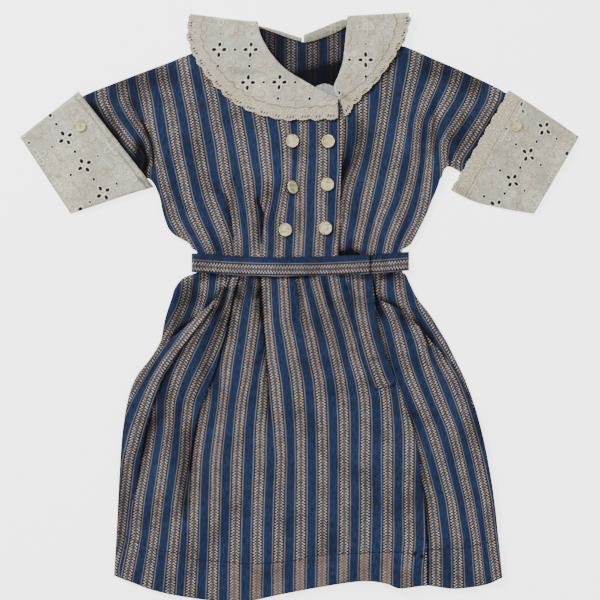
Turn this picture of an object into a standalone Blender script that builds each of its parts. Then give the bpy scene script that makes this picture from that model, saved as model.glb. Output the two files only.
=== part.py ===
"""Child's shirt dress laid flat: striped bodice and skirt, eyelet collar and cuffs, belt and buttons.

Sizes and places are in millimetres until a mesh is made, with +X to the viewer's right, +Y towards the
collar and +Z up from the surface that the dress lies on. Every piece of cloth is a closed wall.
"""
import bpy
import math
import numpy as np

MM = 0.001
CLOTH = 1.5          # wall of every piece of cloth
GAP = 0.3            # air between two pieces that lie on each other
LAYER = CLOTH + GAP
SEAM_AIR = 0.7       # air between front and back, at their side seams
LAP = CLOTH + 1.5     # rise of a front where it laps over the other one

# Heights of the laid-out cloth
PUFF = 3.0           # how far a front stands off the back, away from its edges
EDGE_REACH = 7.0     # distance over which it comes down to a side edge
PRESS_FROM = 13.5    # the belt holds the cloth down as far as this from its middle
PRESS_TO = 30.0      # and no longer beyond this

# Laps of the left front over the right one
LAP_BEGINS = -52.0   # where the bodice's left front starts to rise
LAP_LEAD = 24.0      # how far before the hidden edge the skirt's left front starts to rise
LAP_RAMP = 15.0      # distance over which each of them rises

# Belt
BELT_WIDTH = 20.0
BELT_LEFT = -114.5   # where the belt starts to turn round each side of the waist
BELT_RIGHT = 117.4
BELT_END_X = 76.0    # where its outer end stops on the front
BELT_START_X = 52.0  # where its inner end starts, under the outer one
BELT_SAG = 5.4       # how much lower the belt lies in the middle than at the sides
BELT_TILT = 0.9      # how much higher its right side lies than its middle, on top of that
BELT_HALF_LENGTH = 119.0
BELT_LOWEST = 43.0   # middle line of the belt at its lowest
BELT_SHEER = 6.0     # how far the belt's bends bulge out at the sides
WAIST_SEAM = 45.5    # height of the seam between bodice and skirt
BODICE_END = WAIST_SEAM + 1.0
SKIRT_END = WAIST_SEAM - 1.0

# Buttons
BUTTON_ACROSS = 14.0
CUFF_BUTTON_ACROSS = 13.0
BUTTON_HIGH = 2.2
BUTTON_SIDES = 14
CUFF_BUTTON_AIR = 0.5


def clear_scene():
    for item in list(bpy.data.objects):
        bpy.data.objects.remove(item, do_unlink=True)


def material(name, colour, roughness):
    """A plain finish from the photo's colour."""
    finish = bpy.data.materials.new(name)
    finish.use_nodes = True
    shader = finish.node_tree.nodes["Principled BSDF"]
    shader.inputs["Base Color"].default_value = (*colour, 1.0)
    shader.inputs["Roughness"].default_value = roughness
    shader.inputs["Metallic"].default_value = 0.0
    return finish


# Curves and soft steps

def soft_step(value):
    t = np.clip(value, 0.0, 1.0)
    return t * t * (3.0 - 2.0 * t)


def between_rows(rows, per_row):
    """Rows of a table joined by a Catmull-Rom curve, with each gap read in per_row steps."""
    table = np.array(rows, dtype=float)
    padded = np.vstack([2 * table[0] - table[1], table, 2 * table[-1] - table[-2]])
    fine = []
    for i in range(len(table) - 1):
        p0, p1, p2, p3 = padded[i:i + 4]
        for t in np.linspace(0.0, 1.0, per_row, endpoint=False):
            fine.append(0.5 * (2 * p1 + (p2 - p0) * t + (2 * p0 - 5 * p1 + 4 * p2 - p3) * t * t
                               + (3 * p1 - p0 - 3 * p2 + p3) * t ** 3))
    fine.append(table[-1])
    return np.array(fine)


def smooth_rows(rows, count):
    """The same curve, read at count even steps of its length."""
    fine = between_rows(rows, 16)
    steps = np.linalg.norm(np.diff(fine, axis=0), axis=1)
    length = np.concatenate([[0.0], np.cumsum(steps)])
    wanted = np.linspace(0.0, length[-1], count)
    return np.stack([np.interp(wanted, length, fine[:, k]) for k in range(fine.shape[1])], axis=1)


def path_distance(path, x, y):
    """Distance from each place to a path, and how far along the path that is, 0 to 1."""
    path = np.asarray(path, dtype=float)
    best = np.full(np.shape(x), 1e9)
    along = np.zeros(np.shape(x))
    pieces = len(path) - 1
    for i in range(pieces):
        ax, ay = path[i]
        dx, dy = path[i + 1] - path[i]
        t = np.clip(((x - ax) * dx + (y - ay) * dy) / (dx * dx + dy * dy), 0.0, 1.0)
        gap = np.hypot(x - ax - t * dx, y - ay - t * dy)
        nearer = gap < best
        best = np.where(nearer, gap, best)
        along = np.where(nearer, (i + t) / pieces, along)
    return best, along


def inside(outline, x, y):
    """True where a place lies within a closed outline."""
    hit = np.zeros(np.shape(x), dtype=bool)
    for (ax, ay), (bx, by) in zip(outline, outline[1:] + outline[:1]):
        if ay == by:
            continue
        crosses = (ay > y) != (by > y)
        hit ^= crosses & (x < (bx - ax) * (y - ay) / (by - ay) + ax)
    return hit


def cover(outline, x, y, margin, reach):
    """1 over a hidden layer's outline and its margin, falling softly to 0 at reach beyond them."""
    gap, _ = path_distance(list(outline) + [outline[0]], x, y)
    gap = np.where(inside(list(outline), x, y), 0.0, gap)
    return 1.0 - soft_step((gap - margin) / reach)


# Outlines of the bodice, from the photo

SIDE_LEFT = [(-152, 127), (-148, 98), (-136, 77), (-120, 68), (-116, 63), (-110, 58.5), (-110, BODICE_END)]
SIDE_RIGHT = [(160, 152), (150, 131), (139, 104), (126, 76), (119, 65), (112, 60.5), (112, BODICE_END)]
SLEEVE_TOP_LEFT = [(-257, 207), (-236, 226), (-112, 275), (-46, 299)]
SLEEVE_TOP_RIGHT = [(250, 210), (228, 228), (120, 279), (54, 299)]
SLEEVE_UNDER_LEFT = [(-192, 130), (-176, 136), (-163, 138), (-152, 127)]
SLEEVE_UNDER_RIGHT = [(208, 131), (192, 137), (179, 143), (160, 152)]

# One row for each rib of a panel: where it starts at the top, and where it ends at the bottom.
BODICE_LEFT_RIBS = [
    # top x, top y, bottom x, bottom y
    (-257, 207, -192, 130),
    (-236, 226, -176, 136),
    (-206, 239, -162, 138),
    (-174, 251.5, -152, 122),
    (-142, 263.5, -141, 84),
    (-114, 274.5, -120, 69),
    (-106, 277.5, -116, 63),
    (-98, 280.5, -110, 58.5),
    (-88, 284, -109, BODICE_END),
    (-66, 292, -94, BODICE_END),
    (-48, 298, -74, BODICE_END),
    (-41.5, 285, -54, BODICE_END),
    (-32.5, 270, -36, BODICE_END),
    (-17, 253.5, -18, BODICE_END),
    (3, 241, 2, BODICE_END),
    (25, 228.5, 22, BODICE_END),
    (39, 222, 36, BODICE_END),
    (47.5, 201, 42, BODICE_END)]
BODICE_RIGHT_RIBS = [
    (-20, 216, -27, BODICE_END),
    (0, 222, -9, BODICE_END),
    (20, 225.2, 11, BODICE_END),
    (38, 225.5, 25, BODICE_END),
    (46, 236, 34, BODICE_END),
    (48.5, 250, 44, BODICE_END),
    (52, 268, 58, BODICE_END),
    (56, 297, 76, BODICE_END),
    (82, 290, 94, BODICE_END),
    (94, 286.5, 110, BODICE_END),
    (102, 284, 111.5, 60.5),
    (112, 281.5, 118, 65),
    (121, 278.5, 123, 71),
    (150, 266, 137, 98),
    (180, 253, 149, 128),
    (206, 240.5, 160, 151),
    (228, 228, 180, 142.5),
    (250, 210, 208, 131)]
BODICE_BACK_RIBS = [
    (-257, 207, -192, 130),
    (-236, 226, -176, 136),
    (-206, 239, -162, 138),
    (-174, 251.5, -152, 122),
    (-142, 263.5, -141, 84),
    (-114, 274.5, -120, 69),
    (-106, 277.5, -116, 63),
    (-98, 280.5, -110, 58.5),
    (-88, 284, -109, BODICE_END),
    (-66, 292, -88, BODICE_END),
    (-47, 300, -62, BODICE_END),
    (-31, 298.6, -38, BODICE_END),
    (-14, 291.8, -16, BODICE_END),
    (3, 286.2, 3, BODICE_END),
    (20, 293, 22, BODICE_END),
    (38, 302, 44, BODICE_END),
    (54, 302, 68, BODICE_END),
    (82, 291, 90, BODICE_END),
    (94, 286.5, 110, BODICE_END),
    (102, 284, 111.5, 60.5),
    (112, 281.5, 118, 65),
    (121, 278.5, 123, 71),
    (150, 266, 137, 98),
    (180, 253, 149, 128),
    (206, 240.5, 160, 151),
    (228, 228, 180, 142.5),
    (250, 210, 208, 131)]

# Outlines of the skirt: one row for each section, from the waist down to the hem.
SKIRT_LEFT_SECTIONS = [
    # left x, left y, right x, right y
    (-74, SKIRT_END, 79, SKIRT_END),
    (-77, 28, 79, 30),
    (-92, 7, 81, 12),
    (-112, -12, 84, -12),
    (-131, -29, 90, -38),
    (-150, -45, 99, -64),
    (-166, -64, 109, -90),
    (-181, -87, 119, -118),
    (-190, -130, 127, -150),
    (-194, -180, 133, -192),
    (-197, -238, 137, -242),
    (-200, -291, 138, -304)]
SKIRT_RIGHT_SECTIONS = [
    (30, SKIRT_END, 80, SKIRT_END),
    (32, 31, 82, 28),
    (36, 10, 86, 9),
    (42, -14, 106, -2),
    (50, -42, 123, -15),
    (60, -68, 138, -32),
    (70, -94, 153, -49),
    (80, -121, 172, -73),
    (88, -154, 190, -114),
    (93, -194, 205, -170),
    (98, -244, 214, -234),
    (99, -303, 220, -293)]
HEM_DEPTH = [
    # x, y of the hem's edge
    (-200, -291), (-181, -298), (-160, -306), (-129, -313), (-75, -320), (-52, -318), (-18, -311),
    (19, -304), (57, -298), (77, -297), (95, -299.5), (109, -304.5), (136, -301.5), (159, -304.5),
    (173, -305), (201, -301), (220, -293)]
HEM_FOLLOWED_FROM = -120.0    # height below which the sections start to follow the hem
SKIRT_BACK_SECTIONS = [
    # y, left x, right x, how far the left and the right side wrap round to the front
    (SKIRT_END, -110, 112, 66, 56),
    (37, -110.5, 112.5, 67, 57),
    (34.3, -117, 116, 73, 58),
    (30, -126.5, 118, 76, 58),
    (20, -134.5, 122.5, 76, 56),
    (8, -138.5, 129, 72, 52),
    (-10, -144.5, 143, 58, 42),
    (-24, -147.5, 151.5, 42, 32),
    (-38, -150.5, 160, 26, 24),
    (-56, -161, 169, 11, 11),
    (-79, -178, 180, 7, 7),
    (-112, -188, 192, 7, 7),
    (-160, -193, 204, 7, 7),
    (-215, -196, 213, 7, 7),
    (-291, -200, 220, 7, 7)]

# Collar halves: one row for each station, from the front end over the shoulder to the centre back.
# The inner point is on the rolled neck edge, the outer one on the scalloped edge.
COLLAR_LEFT_STATIONS = [
    # inner x, inner y, outer x, outer y, turn over the shoulder (0 front, 1 back), roll, strip
    (42, 224.5, 42, 203, 0.0, 50, 0),
    (27, 231, 14, 202, 0.0, 80, 0),
    (4, 244, -24, 203, 0.0, 90, 0),
    (-15, 256, -62, 216, 0.0, 90, 0),
    (-30, 272, -92, 241, 0.0, 90, 0),
    (-39, 287, -113, 271, 0.0, 90, 0),
    (-43, 297, -120, 293, 0.0, 95, 0),
    (-44.5, 303, -118, 312, 0.0, 110, 0),
    (-44.5, 303.4, -117.8, 312.4, 0.5, 130, 0),
    (-44, 303, -118, 312, 1.0, 150, 0),
    (-39, 302.5, -115, 296, 1.0, 175, 1),
    (-30, 300.5, -102, 262, 1.0, 180, 1.6),
    (-18, 297, -64, 229, 1.0, 180, 1.6),
    (-8, 293.5, -28, 216, 1.0, 180, 1.6),
    (3, 290.3, 3, 213, 1.0, 180, 1.6)]
COLLAR_RIGHT_STATIONS = [
    (45.5, 219, 50, 205, 0.0, 70, 0),
    (40, 229, 61, 220, 0.0, 80, 0),
    (38.5, 239, 84, 244, 0.0, 90, 0),
    (43, 250, 100, 266, 0.0, 90, 0),
    (48, 266, 112, 287, 0.0, 90, 0),
    (50, 284, 118, 303, 0.0, 90, 0),
    (51.5, 299, 119.5, 310, 0.0, 95, 0),
    (53, 310, 118, 313.5, 0.0, 110, 0),
    (52.5, 310.6, 118, 314, 0.5, 130, 1),
    (52, 310, 118, 313.5, 1.0, 150, 3),
    (47, 310, 115.5, 298, 1.0, 175, 9),
    (37, 306.5, 104, 264, 1.0, 180, 9.5),
    (25, 301.5, 72, 230, 1.0, 180, 8.5),
    (14, 297, 34, 216, 1.0, 180, 7.5),
    (5.2, 293.5, 5.2, 213, 1.0, 180, 6)]
COLLAR_ROLL = 1.9     # radius of the rolled neck edge
COLLAR_PUFF = 1.0     # how far a collar stands off the bodice

# Cuffs: one row for each section, from the edge on the sleeve to the open end.
CUFF_LEFT_SECTIONS = [
    # upper x, upper y, lower x, lower y, air inside the flattened tube
    (-239, 233, -157, 129, 5.4),
    (-258, 218, -184, 121, 5.2),
    (-280, 201, -214, 111, 3.8),
    (-302, 184, -247, 100, 2.6)]
CUFF_RIGHT_SECTIONS = [
    (228, 234, 165, 125, 5.4),
    (250, 220, 190, 113, 5.2),
    (276, 203, 224, 105, 3.8),
    (303, 184, 254, 100, 2.6)]

# Middles of the buttons on the front and on the cuffs. One of them hangs loose and leans on its edge.
FRONT_BUTTONS = [
    # name, x, y, lean and turn in degrees
    ("button_upper_left", -7.1, 178.7, 0, 0),
    ("button_upper_right", 31.5, 178.4, 0, 0),
    ("button_middle_left", -7.6, 128.4, 50, 14),
    ("button_middle_right", 30.6, 131.7, 0, 0),
    ("button_lower_left", -14.7, 82.7, 0, 0),
    ("button_lower_right", 28.5, 84.5, 0, 0)]
CUFF_BUTTONS = [
    ("cuff_button_left", -236.8, 195.4),
    ("cuff_button_right", 234.0, 195.7)]
BUTTON_PROFILE = [
    # share of the radius, share of the height
    (0.0, 0.0),
    (0.92, 0.0),
    (1.0, 0.35),
    (0.95, 0.9),
    (0.80, 1.0),
    (0.66, 0.7),
    (0.0, 0.7)]

# Folds of the fronts: a ridge stands up by its height, a trough sinks by it.
BODICE_FOLDS = [
    # start x, start y, middle x, middle y, end x, end y, height, width
    (-86, 112, -84, 80, -79, 54, 3.0, 7.0),
    (-72, 112, -69, 80, -66, 50, -3.2, 3.6),
    (-60, 120, -57, 85, -54, 54, 2.6, 7.0),
    (-33, 128, -37, 90, -42, 50, -2.8, 3.6),
    (-46, 124, -48, 88, -50, 54, 2.4, 6.0),
    (-21, 120, -26, 88, -29, 54, 0.8, 6.0),
    (-187, 206, -168, 170, -155, 128, -3.0, 7.0),
    (-196, 226, -182, 180, -164, 136, 4.5, 9.0),
    (-166, 220, -150, 170, -138, 112, 4.0, 10.0),
    (-132, 220, -122, 150, -104, 70, 2.0, 12.0),
    (56, 200, 57, 160, 55, 118, -2.4, 5.0),
    (70, 200, 69, 150, 64, 104, 2.4, 8.0),
    (76, 99, 66, 74, 60, 48, -2.4, 4.0),
    (88, 110, 80, 80, 72, 52, 2.6, 6.0),
    (97, 92, 91, 70, 88, 48, -2.0, 4.0),
    (110, 110, 104, 80, 100, 52, 2.2, 6.0),
    (152, 230, 139, 192, 141, 138, -2.4, 6.0),
    (172, 226, 160, 190, 156, 162, 3.6, 9.0),
    (128, 226, 122, 180, 124, 120, 3.0, 10.0)]
SKIRT_FOLDS = [
    (-41, 44, -40, -10, -36, -120, -4.0, 4.0),
    (-54, 34, -64, -60, -74, -150, 4.6, 12.0),
    (-26, 34, -16, -60, -10, -150, 3.6, 12.0),
    (-84, 8, -124, -40, -168, -92, 6.5, 11.0),
    (-76, 12, -122, -70, -148, -180, 5.5, 11.0),
    (-86, 0, -114, -52, -134, -96, -3.4, 6.0),
    (-145, -79, -160, -130, -171, -214, -4.6, 7.0),
    (-94, -60, -112, -114, -121, -250, -4.6, 6.0),
    (-176, -100, -182, -160, -186, -240, 3.6, 8.0),
    (-90, -120, -100, -180, -106, -260, 2.4, 12.0),
    (2, 38, 6, 0, 12, -40, -2.2, 6.0),
    (18, 36, 26, 0, 34, -60, 2.4, 9.0),
    (44, 36, 48, 0, 56, -50, -1.6, 7.0),
    (62, 10, 78, -60, 96, -130, 3.0, 12.0),
    (90, 20, 96, 6, 104, -8, -2.0, 6.0),
    (96, -4, 122, -76, 156, -190, 5.0, 11.0),
    (136, -31, 158, -70, 182, -122, -3.2, 5.0),
    (128, -28, 166, -92, 198, -190, 4.0, 10.0),
    (108, -52, 128, -120, 146, -230, -3.0, 6.0),
    (-30, -200, -34, -250, -36, -300, 1.8, 16.0),
    (60, -190, 66, -250, 76, -292, 2.2, 18.0),
    (96, -210, 104, -260, 108, -296, -1.6, 8.0),
    (170, -210, 184, -250, 190, -290, 2.0, 14.0)]

FOLD_START_SHARE = 0.22   # share of a fold's length over which it grows at its start
FOLD_END_SHARE = 0.3      # and over which it fades at its end


def folds_height(folds, x, y):
    """Sum of the ridges and troughs, each fading out at both ends."""
    total = np.zeros(np.shape(x))
    for x0, y0, x1, y1, x2, y2, high, wide in folds:
        path = smooth_rows([(x0, y0), (x1, y1), (x2, y2)], 13)
        gap, along = path_distance(path, x, y)
        fade = soft_step(along / FOLD_START_SHARE) * soft_step((1.0 - along) / FOLD_END_SHARE)
        total = total + high * fade * np.exp(-(gap / wide) ** 2)
    return total


def pressed(y):
    """0 under the belt, 1 away from it."""
    return soft_step((np.abs(y - WAIST_SEAM) - PRESS_FROM) / (PRESS_TO - PRESS_FROM))


# Heights of the layers

def collar_back_outline(stations):
    """The part of a collar half that lies under the back."""
    hidden = [row for row in stations if row[4] >= 0.5]
    return [row[0:2] for row in hidden] + [row[2:4] for row in reversed(hidden)]


def cuff_outline(sections):
    return [row[0:2] for row in sections] + [row[2:4] for row in reversed(sections)]


BACK_MARGIN = 17.0    # how far round a hidden piece the back stays lifted
BACK_REACH = 14.0     # and over how much more it comes down to the floor
BELT_REACH = 10.0     # the same, above and below the belt
CUFF_REACH = 16.0     # how far from a cuff the front is held down
WRAP_REACH = 14.0     # how far from the wrapped sides the front is still raised
WRAP_AIR = 0.15       # air on both sides of the sheet where the back turns round its side
BELT_BACK = [(-118, 32), (121, 32), (121, 60), (-118, 60)]


def back_low(x, y):
    """Underside of the back: on the floor, or lifted by the collar, cuffs and belt beneath it."""
    hidden = [(collar_back_outline(COLLAR_LEFT_STATIONS), BACK_REACH),
              (collar_back_outline(COLLAR_RIGHT_STATIONS), BACK_REACH),
              (cuff_outline(CUFF_LEFT_SECTIONS), BACK_REACH),
              (cuff_outline(CUFF_RIGHT_SECTIONS), BACK_REACH),
              (BELT_BACK, BELT_REACH)]
    lift = np.zeros(np.shape(x))
    for outline, reach in hidden:
        lift = np.maximum(lift, cover(outline, x, y, BACK_MARGIN, reach))
    return LAYER * lift


def bodice_puff(x, y):
    """How far the bodice's front stands off its back."""
    nearest = np.full(np.shape(x), 1e9)
    for edge in (SLEEVE_TOP_LEFT, SLEEVE_TOP_RIGHT, SLEEVE_UNDER_LEFT[:-1] + SIDE_LEFT,
                 SLEEVE_UNDER_RIGHT[:-1] + SIDE_RIGHT):
        gap, _ = path_distance(edge, x, y)
        nearest = np.minimum(nearest, gap)
    cuff = np.maximum(cover(cuff_outline(CUFF_LEFT_SECTIONS), x, y, 1.0, CUFF_REACH),
                      cover(cuff_outline(CUFF_RIGHT_SECTIONS), x, y, 1.0, CUFF_REACH))
    off_edge = 1.0 - np.exp(-nearest / EDGE_REACH)
    free = pressed(y) * (1.0 - cuff)
    lift = off_edge * (PUFF + folds_height(BODICE_FOLDS, x, y)) * free
    return np.maximum(lift, 0.0)


def bodice_right_low(x, y):
    return back_low(x, y) + CLOTH + SEAM_AIR + bodice_puff(x, y)


def bodice_left_low(x, y):
    """The lapping front rises over the one beneath it."""
    lapped = soft_step((x - LAP_BEGINS) / LAP_RAMP)
    return bodice_right_low(x, y) + LAP * lapped


def skirt_sides():
    left = [(row[1], row[0]) for row in SKIRT_BACK_SECTIONS]
    right = [(row[2], row[0]) for row in SKIRT_BACK_SECTIONS]
    return left, right


def wrapped_outlines():
    """Where the back's sides lie on the front, at the hips and along the side seams."""
    left = [(row[1] - 1, row[0]) for row in SKIRT_BACK_SECTIONS]
    left_in = [(row[1] + row[3] + 1, row[0]) for row in reversed(SKIRT_BACK_SECTIONS)]
    right = [(row[2] + 1, row[0]) for row in SKIRT_BACK_SECTIONS]
    right_in = [(row[2] - row[4] - 1, row[0]) for row in reversed(SKIRT_BACK_SECTIONS)]
    return left + left_in, right + right_in


def skirt_puff(x, y):
    left, right = skirt_sides()
    nearest = np.full(np.shape(x), 1e9)
    for edge in (left[6:], right[6:]):
        gap, _ = path_distance(edge, x, y)
        nearest = np.minimum(nearest, gap)
    off_edge = 1.0 - np.exp(-nearest / EDGE_REACH)
    lift = off_edge * (PUFF + folds_height(SKIRT_FOLDS, x, y)) * pressed(y)
    return np.maximum(lift, 0.0)


def skirt_right_low(x, y):
    """Underside of the lapped-under skirt front, above the back and its wrapped sides."""
    left, right = wrapped_outlines()
    wrap = np.maximum(cover(left, x, y, 2.0, WRAP_REACH), cover(right, x, y, 2.0, WRAP_REACH))
    return back_low(x, y) + CLOTH + SEAM_AIR + LAYER * wrap + skirt_puff(x, y)


def skirt_left_low(x, y):
    hidden_edge = np.interp(-y, [-row[1] for row in SKIRT_RIGHT_SECTIONS],
                            [row[0] for row in SKIRT_RIGHT_SECTIONS])
    lapped = soft_step((x - hidden_edge + LAP_LEAD) / LAP_RAMP)
    return skirt_right_low(x, y) + LAP * lapped


# Meshes

def add_mesh(name, points, faces, finish):
    """A closed solid from points in millimetres."""
    mesh = bpy.data.meshes.new(name)
    moved = (np.asarray(points, dtype=float) - (*OUTLINE_CENTRE, 0.0)) * MM
    mesh.from_pydata([tuple(point) for point in moved], [], faces)
    mesh.validate()
    mesh.materials.append(finish)
    mesh.shade_smooth()
    item = bpy.data.objects.new(name, mesh)
    bpy.context.scene.collection.objects.link(item)
    return item


def wall_between(name, over, under, finish, closed=False):
    """A wall between two grids of points, with rims round its open edges.

    The grids are counter-clockwise seen from outside, and closed joins the last column to the first.
    """
    rows, columns = over.shape[:2]
    points = np.vstack([over.reshape(-1, 3), under.reshape(-1, 3)])
    shift = rows * columns

    def spot(i, j):
        return i * columns + j % columns

    faces = []
    last = columns if closed else columns - 1
    for i in range(rows - 1):
        for j in range(last):
            a, b, c, d = spot(i, j), spot(i, j + 1), spot(i + 1, j + 1), spot(i + 1, j)
            faces.append((a, b, c, d))
            faces.append((d + shift, c + shift, b + shift, a + shift))
    for j in range(last):
        a, b = spot(0, j), spot(0, j + 1)
        c, d = spot(rows - 1, j), spot(rows - 1, j + 1)
        faces.append((b, a, a + shift, b + shift))
        faces.append((c, d, d + shift, c + shift))
    if not closed:
        for i in range(rows - 1):
            a, b = spot(i, 0), spot(i + 1, 0)
            c, d = spot(i, columns - 1), spot(i + 1, columns - 1)
            faces.append((a, b, b + shift, a + shift))
            faces.append((d, c, c + shift, d + shift))
    return add_mesh(name, points, faces, finish)


def grid_normals(grid, closed=False):
    """Unit normals of a grid, along its columns crossed with along its rows."""
    if closed:
        across = np.roll(grid, -1, axis=1) - np.roll(grid, 1, axis=1)
    else:
        across = np.gradient(grid, axis=1)
    down = np.gradient(grid, axis=0)
    normal = np.cross(across, down)
    return normal / np.linalg.norm(normal, axis=2, keepdims=True)


def thick_sheet(name, middle, finish, closed=False):
    """A wall of cloth with the given middle surface."""
    offset = grid_normals(middle, closed) * (CLOTH / 2)
    return wall_between(name, middle + offset, middle - offset, finish, closed)


def laid_panel(name, places, low, finish):
    """A panel lying at the height that low gives, with places as its grid of x and y."""
    x, y = places[..., 0], places[..., 1]
    under = np.dstack([x, y, low(x, y)])
    over = under + np.array([0.0, 0.0, CLOTH])
    return wall_between(name, over, under, finish)


def rib_grid(ribs, rib_count, steps):
    """Places along ribs that run from the top edge of a panel to its bottom edge."""
    table = smooth_rows(ribs, rib_count)
    t = np.linspace(1.0, 0.0, steps)[:, None, None]
    return (1.0 - t) * table[None, :, 0:2] + t * table[None, :, 2:4]


def hem_drop(x, y, straight_hem):
    """How far each place moves down or up, for the last section to follow the hem's edge."""
    hem = smooth_rows(HEM_DEPTH, 90)
    share = soft_step((HEM_FOLLOWED_FROM - y) / (HEM_FOLLOWED_FROM + 295.0))
    return (np.interp(x, hem[:, 0], hem[:, 1]) - straight_hem) * share


def section_grid(sections, count, steps):
    """Places along sections that run from side to side, the last one following the hem."""
    table = smooth_rows(sections, count)[::-1]
    t = np.linspace(0.0, 1.0, steps)[None, :, None]
    grid = (1.0 - t) * table[:, None, 0:2] + t * table[:, None, 2:4]
    grid[..., 1] += hem_drop(grid[..., 0], grid[..., 1], grid[0, :, 1][None, :])
    return grid


# Pieces

def build_bodice(stripes):
    laid_panel("bodice_back", rib_grid(BODICE_BACK_RIBS, 40, 13),
               back_low, stripes)
    laid_panel("bodice_front_right", rib_grid(BODICE_RIGHT_RIBS, 28, 19),
               bodice_right_low, stripes)
    laid_panel("bodice_front_left", rib_grid(BODICE_LEFT_RIBS, 28, 19),
               bodice_left_low, stripes)


def build_skirt_fronts(stripes):
    laid_panel("skirt_front_right", section_grid(SKIRT_RIGHT_SECTIONS, 23, 13),
               skirt_right_low, stripes)
    laid_panel("skirt_front_left", section_grid(SKIRT_LEFT_SECTIONS, 23, 30),
               skirt_left_low, stripes)


def build_skirt_back(stripes):
    """The back lies on the floor and turns up round both sides onto the front."""
    turn = LAYER / 2 + WRAP_AIR
    rows = []
    for y, left, right, wrap_left, wrap_right in between_rows(SKIRT_BACK_SECTIONS, 2)[::-1]:
        lift = float(back_low(np.array([0.0]), np.array([y]))[0])
        floor = lift + CLOTH / 2
        left_edge = left + CLOTH / 2
        right_edge = right - CLOTH / 2
        section = []
        for t in np.linspace(0.0, 1.0, 5):
            section.append((left_edge + turn + (1.0 - t) * (wrap_left - turn), floor + 2 * turn))
        for angle in (45, 90, 135):
            a = math.radians(angle)
            section.append((left_edge + turn - turn * math.sin(a), floor + turn + turn * math.cos(a)))
        for t in np.linspace(0.0, 1.0, 12):
            section.append((left_edge + turn + t * (right_edge - left_edge - 2 * turn), floor))
        for angle in (135, 90, 45):
            a = math.radians(angle)
            section.append((right_edge - turn + turn * math.sin(a), floor + turn + turn * math.cos(a)))
        for t in np.linspace(0.0, 1.0, 5):
            section.append((right_edge - turn - t * (wrap_right - turn), floor + 2 * turn))
        rows.append([(x, y, z) for x, z in section])
    middle = np.array(rows)
    middle[..., 1] += hem_drop(middle[..., 0], middle[..., 1], middle[0, 0, 1])
    thick_sheet("skirt_back", middle[::-1], stripes)


def front_top(x, y):
    """Highest cloth of the two fronts, at and near the waist and under the collar."""
    bodice = np.where(x < 46.0, bodice_left_low(x, y), bodice_right_low(x, y))
    lap_edge = np.interp(-y, [-row[3] for row in SKIRT_LEFT_SECTIONS],
                         [row[2] for row in SKIRT_LEFT_SECTIONS])
    skirt = np.where(x < lap_edge + 4.0, skirt_left_low(x, y), skirt_right_low(x, y))
    return np.where(y > WAIST_SEAM, bodice, skirt) + CLOTH


def belt_middle(x):
    """Middle line of the belt on the front, which sags a little between the hips."""
    share = x / BELT_HALF_LENGTH
    return BELT_LOWEST + BELT_SAG * share ** 2 + BELT_TILT * share


def belt_height(x):
    """Underside of the belt's inner end and front at x, just clear of all that it crosses."""
    half = BELT_WIDTH / 2 + 0.6
    gx, gy = np.meshgrid(np.linspace(x - 6.0, x + 6.0, 7),
                         np.linspace(belt_middle(x) - half, belt_middle(x) + half, 13))
    tab_left, tab_right = TAB_ROWS[0][0], TAB_ROWS[0][2]
    over_tab = soft_step((x - tab_left + TAB_REACH) / 12.0) * soft_step((tab_right + TAB_REACH - x) / 12.0)
    return float(front_top(gx, gy).max()) + 2 * GAP + (TAB_AIR + CLOTH) * float(over_tab)


def belt_turn(x_edge, outward, top):
    """The belt's bend round one side of the waist, from the front's height down to the floor."""
    floor = CLOTH / 2
    half = (top - floor) / 2
    points = []
    for angle in np.linspace(20, 160, 6):
        a = math.radians(angle)
        bulge = BELT_SHEER * (math.sin(a) - 1.0) + 1.0
        points.append((x_edge + outward * bulge, floor + half + half * math.cos(a)))
    return points


def build_belt(stripes):
    """One strip wound round the waist, its outer end lying over its inner end."""
    path = []
    for x in np.linspace(BELT_END_X, BELT_LEFT + 8.0, 22):
        over_start = float(soft_step((x - BELT_START_X + 16.0) / 12.0))
        path.append((x, belt_height(x) + CLOTH / 2 + LAYER * over_start))
    path += belt_turn(BELT_LEFT, -1.0, path[-1][1])
    path += [(x, CLOTH / 2) for x in np.linspace(BELT_LEFT + 8.0, BELT_RIGHT - 8.0, 12)]
    tail = [(x, belt_height(x) + CLOTH / 2) for x in np.linspace(BELT_RIGHT - 8.0, BELT_START_X, 9)]
    path += belt_turn(BELT_RIGHT, 1.0, tail[0][1])[::-1]
    path += tail
    middle = np.array([[(x, belt_middle(x) + share * BELT_WIDTH / 2, z) for share in (-1.0, 0.0, 1.0)]
                       for x, z in path])
    thick_sheet("belt", middle, stripes)


TAB_AIR = 0.9         # how far the loose end stands off the skirt
TAB_REACH = 20.0      # how far to each side of it the belt is raised
TAB_ROWS = [
    # left x, left y, right x, right y
    (53, 40.5, 77.5, 40.5),
    (53.5, 30, 78.5, 31),
    (56, 8, 80, 10),
    (60, -20, 84.5, -18),
    (67.5, -50, 92, -45),
    (76, -77, 101, -71),
    (80.5, -89, 105, -83)]

TAB_CORNERS = [
    # place along the lower end, how far it is moved to round the corners
    (0, (1.5, 2.0)),
    (4, (-0.5, 0.5)),
    (5, (-3.5, 5.0))]


def build_belt_tab(stripes):
    """The belt's loose end, hanging over the skirt from under the belt's crossing."""
    table = smooth_rows(TAB_ROWS, 15)[::-1]
    t = np.linspace(0.0, 1.0, 6)[None, :, None]
    places = (1.0 - t) * table[:, None, 0:2] + t * table[:, None, 2:4]
    for column, moved in TAB_CORNERS:
        places[0, column] += moved
    laid_panel("belt_tab", places, tab_low, stripes)


def tab_low(x, y):
    """Underside of the loose end, clear of the skirt for a little way round each place."""
    highest = np.full(np.shape(x), -1e9)
    for dx in (-3.0, 0.0, 3.0):
        for dy in (-3.0, 0.0, 3.0):
            highest = np.maximum(highest, front_top(x + dx, y + dy))
    return highest + TAB_AIR


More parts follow.
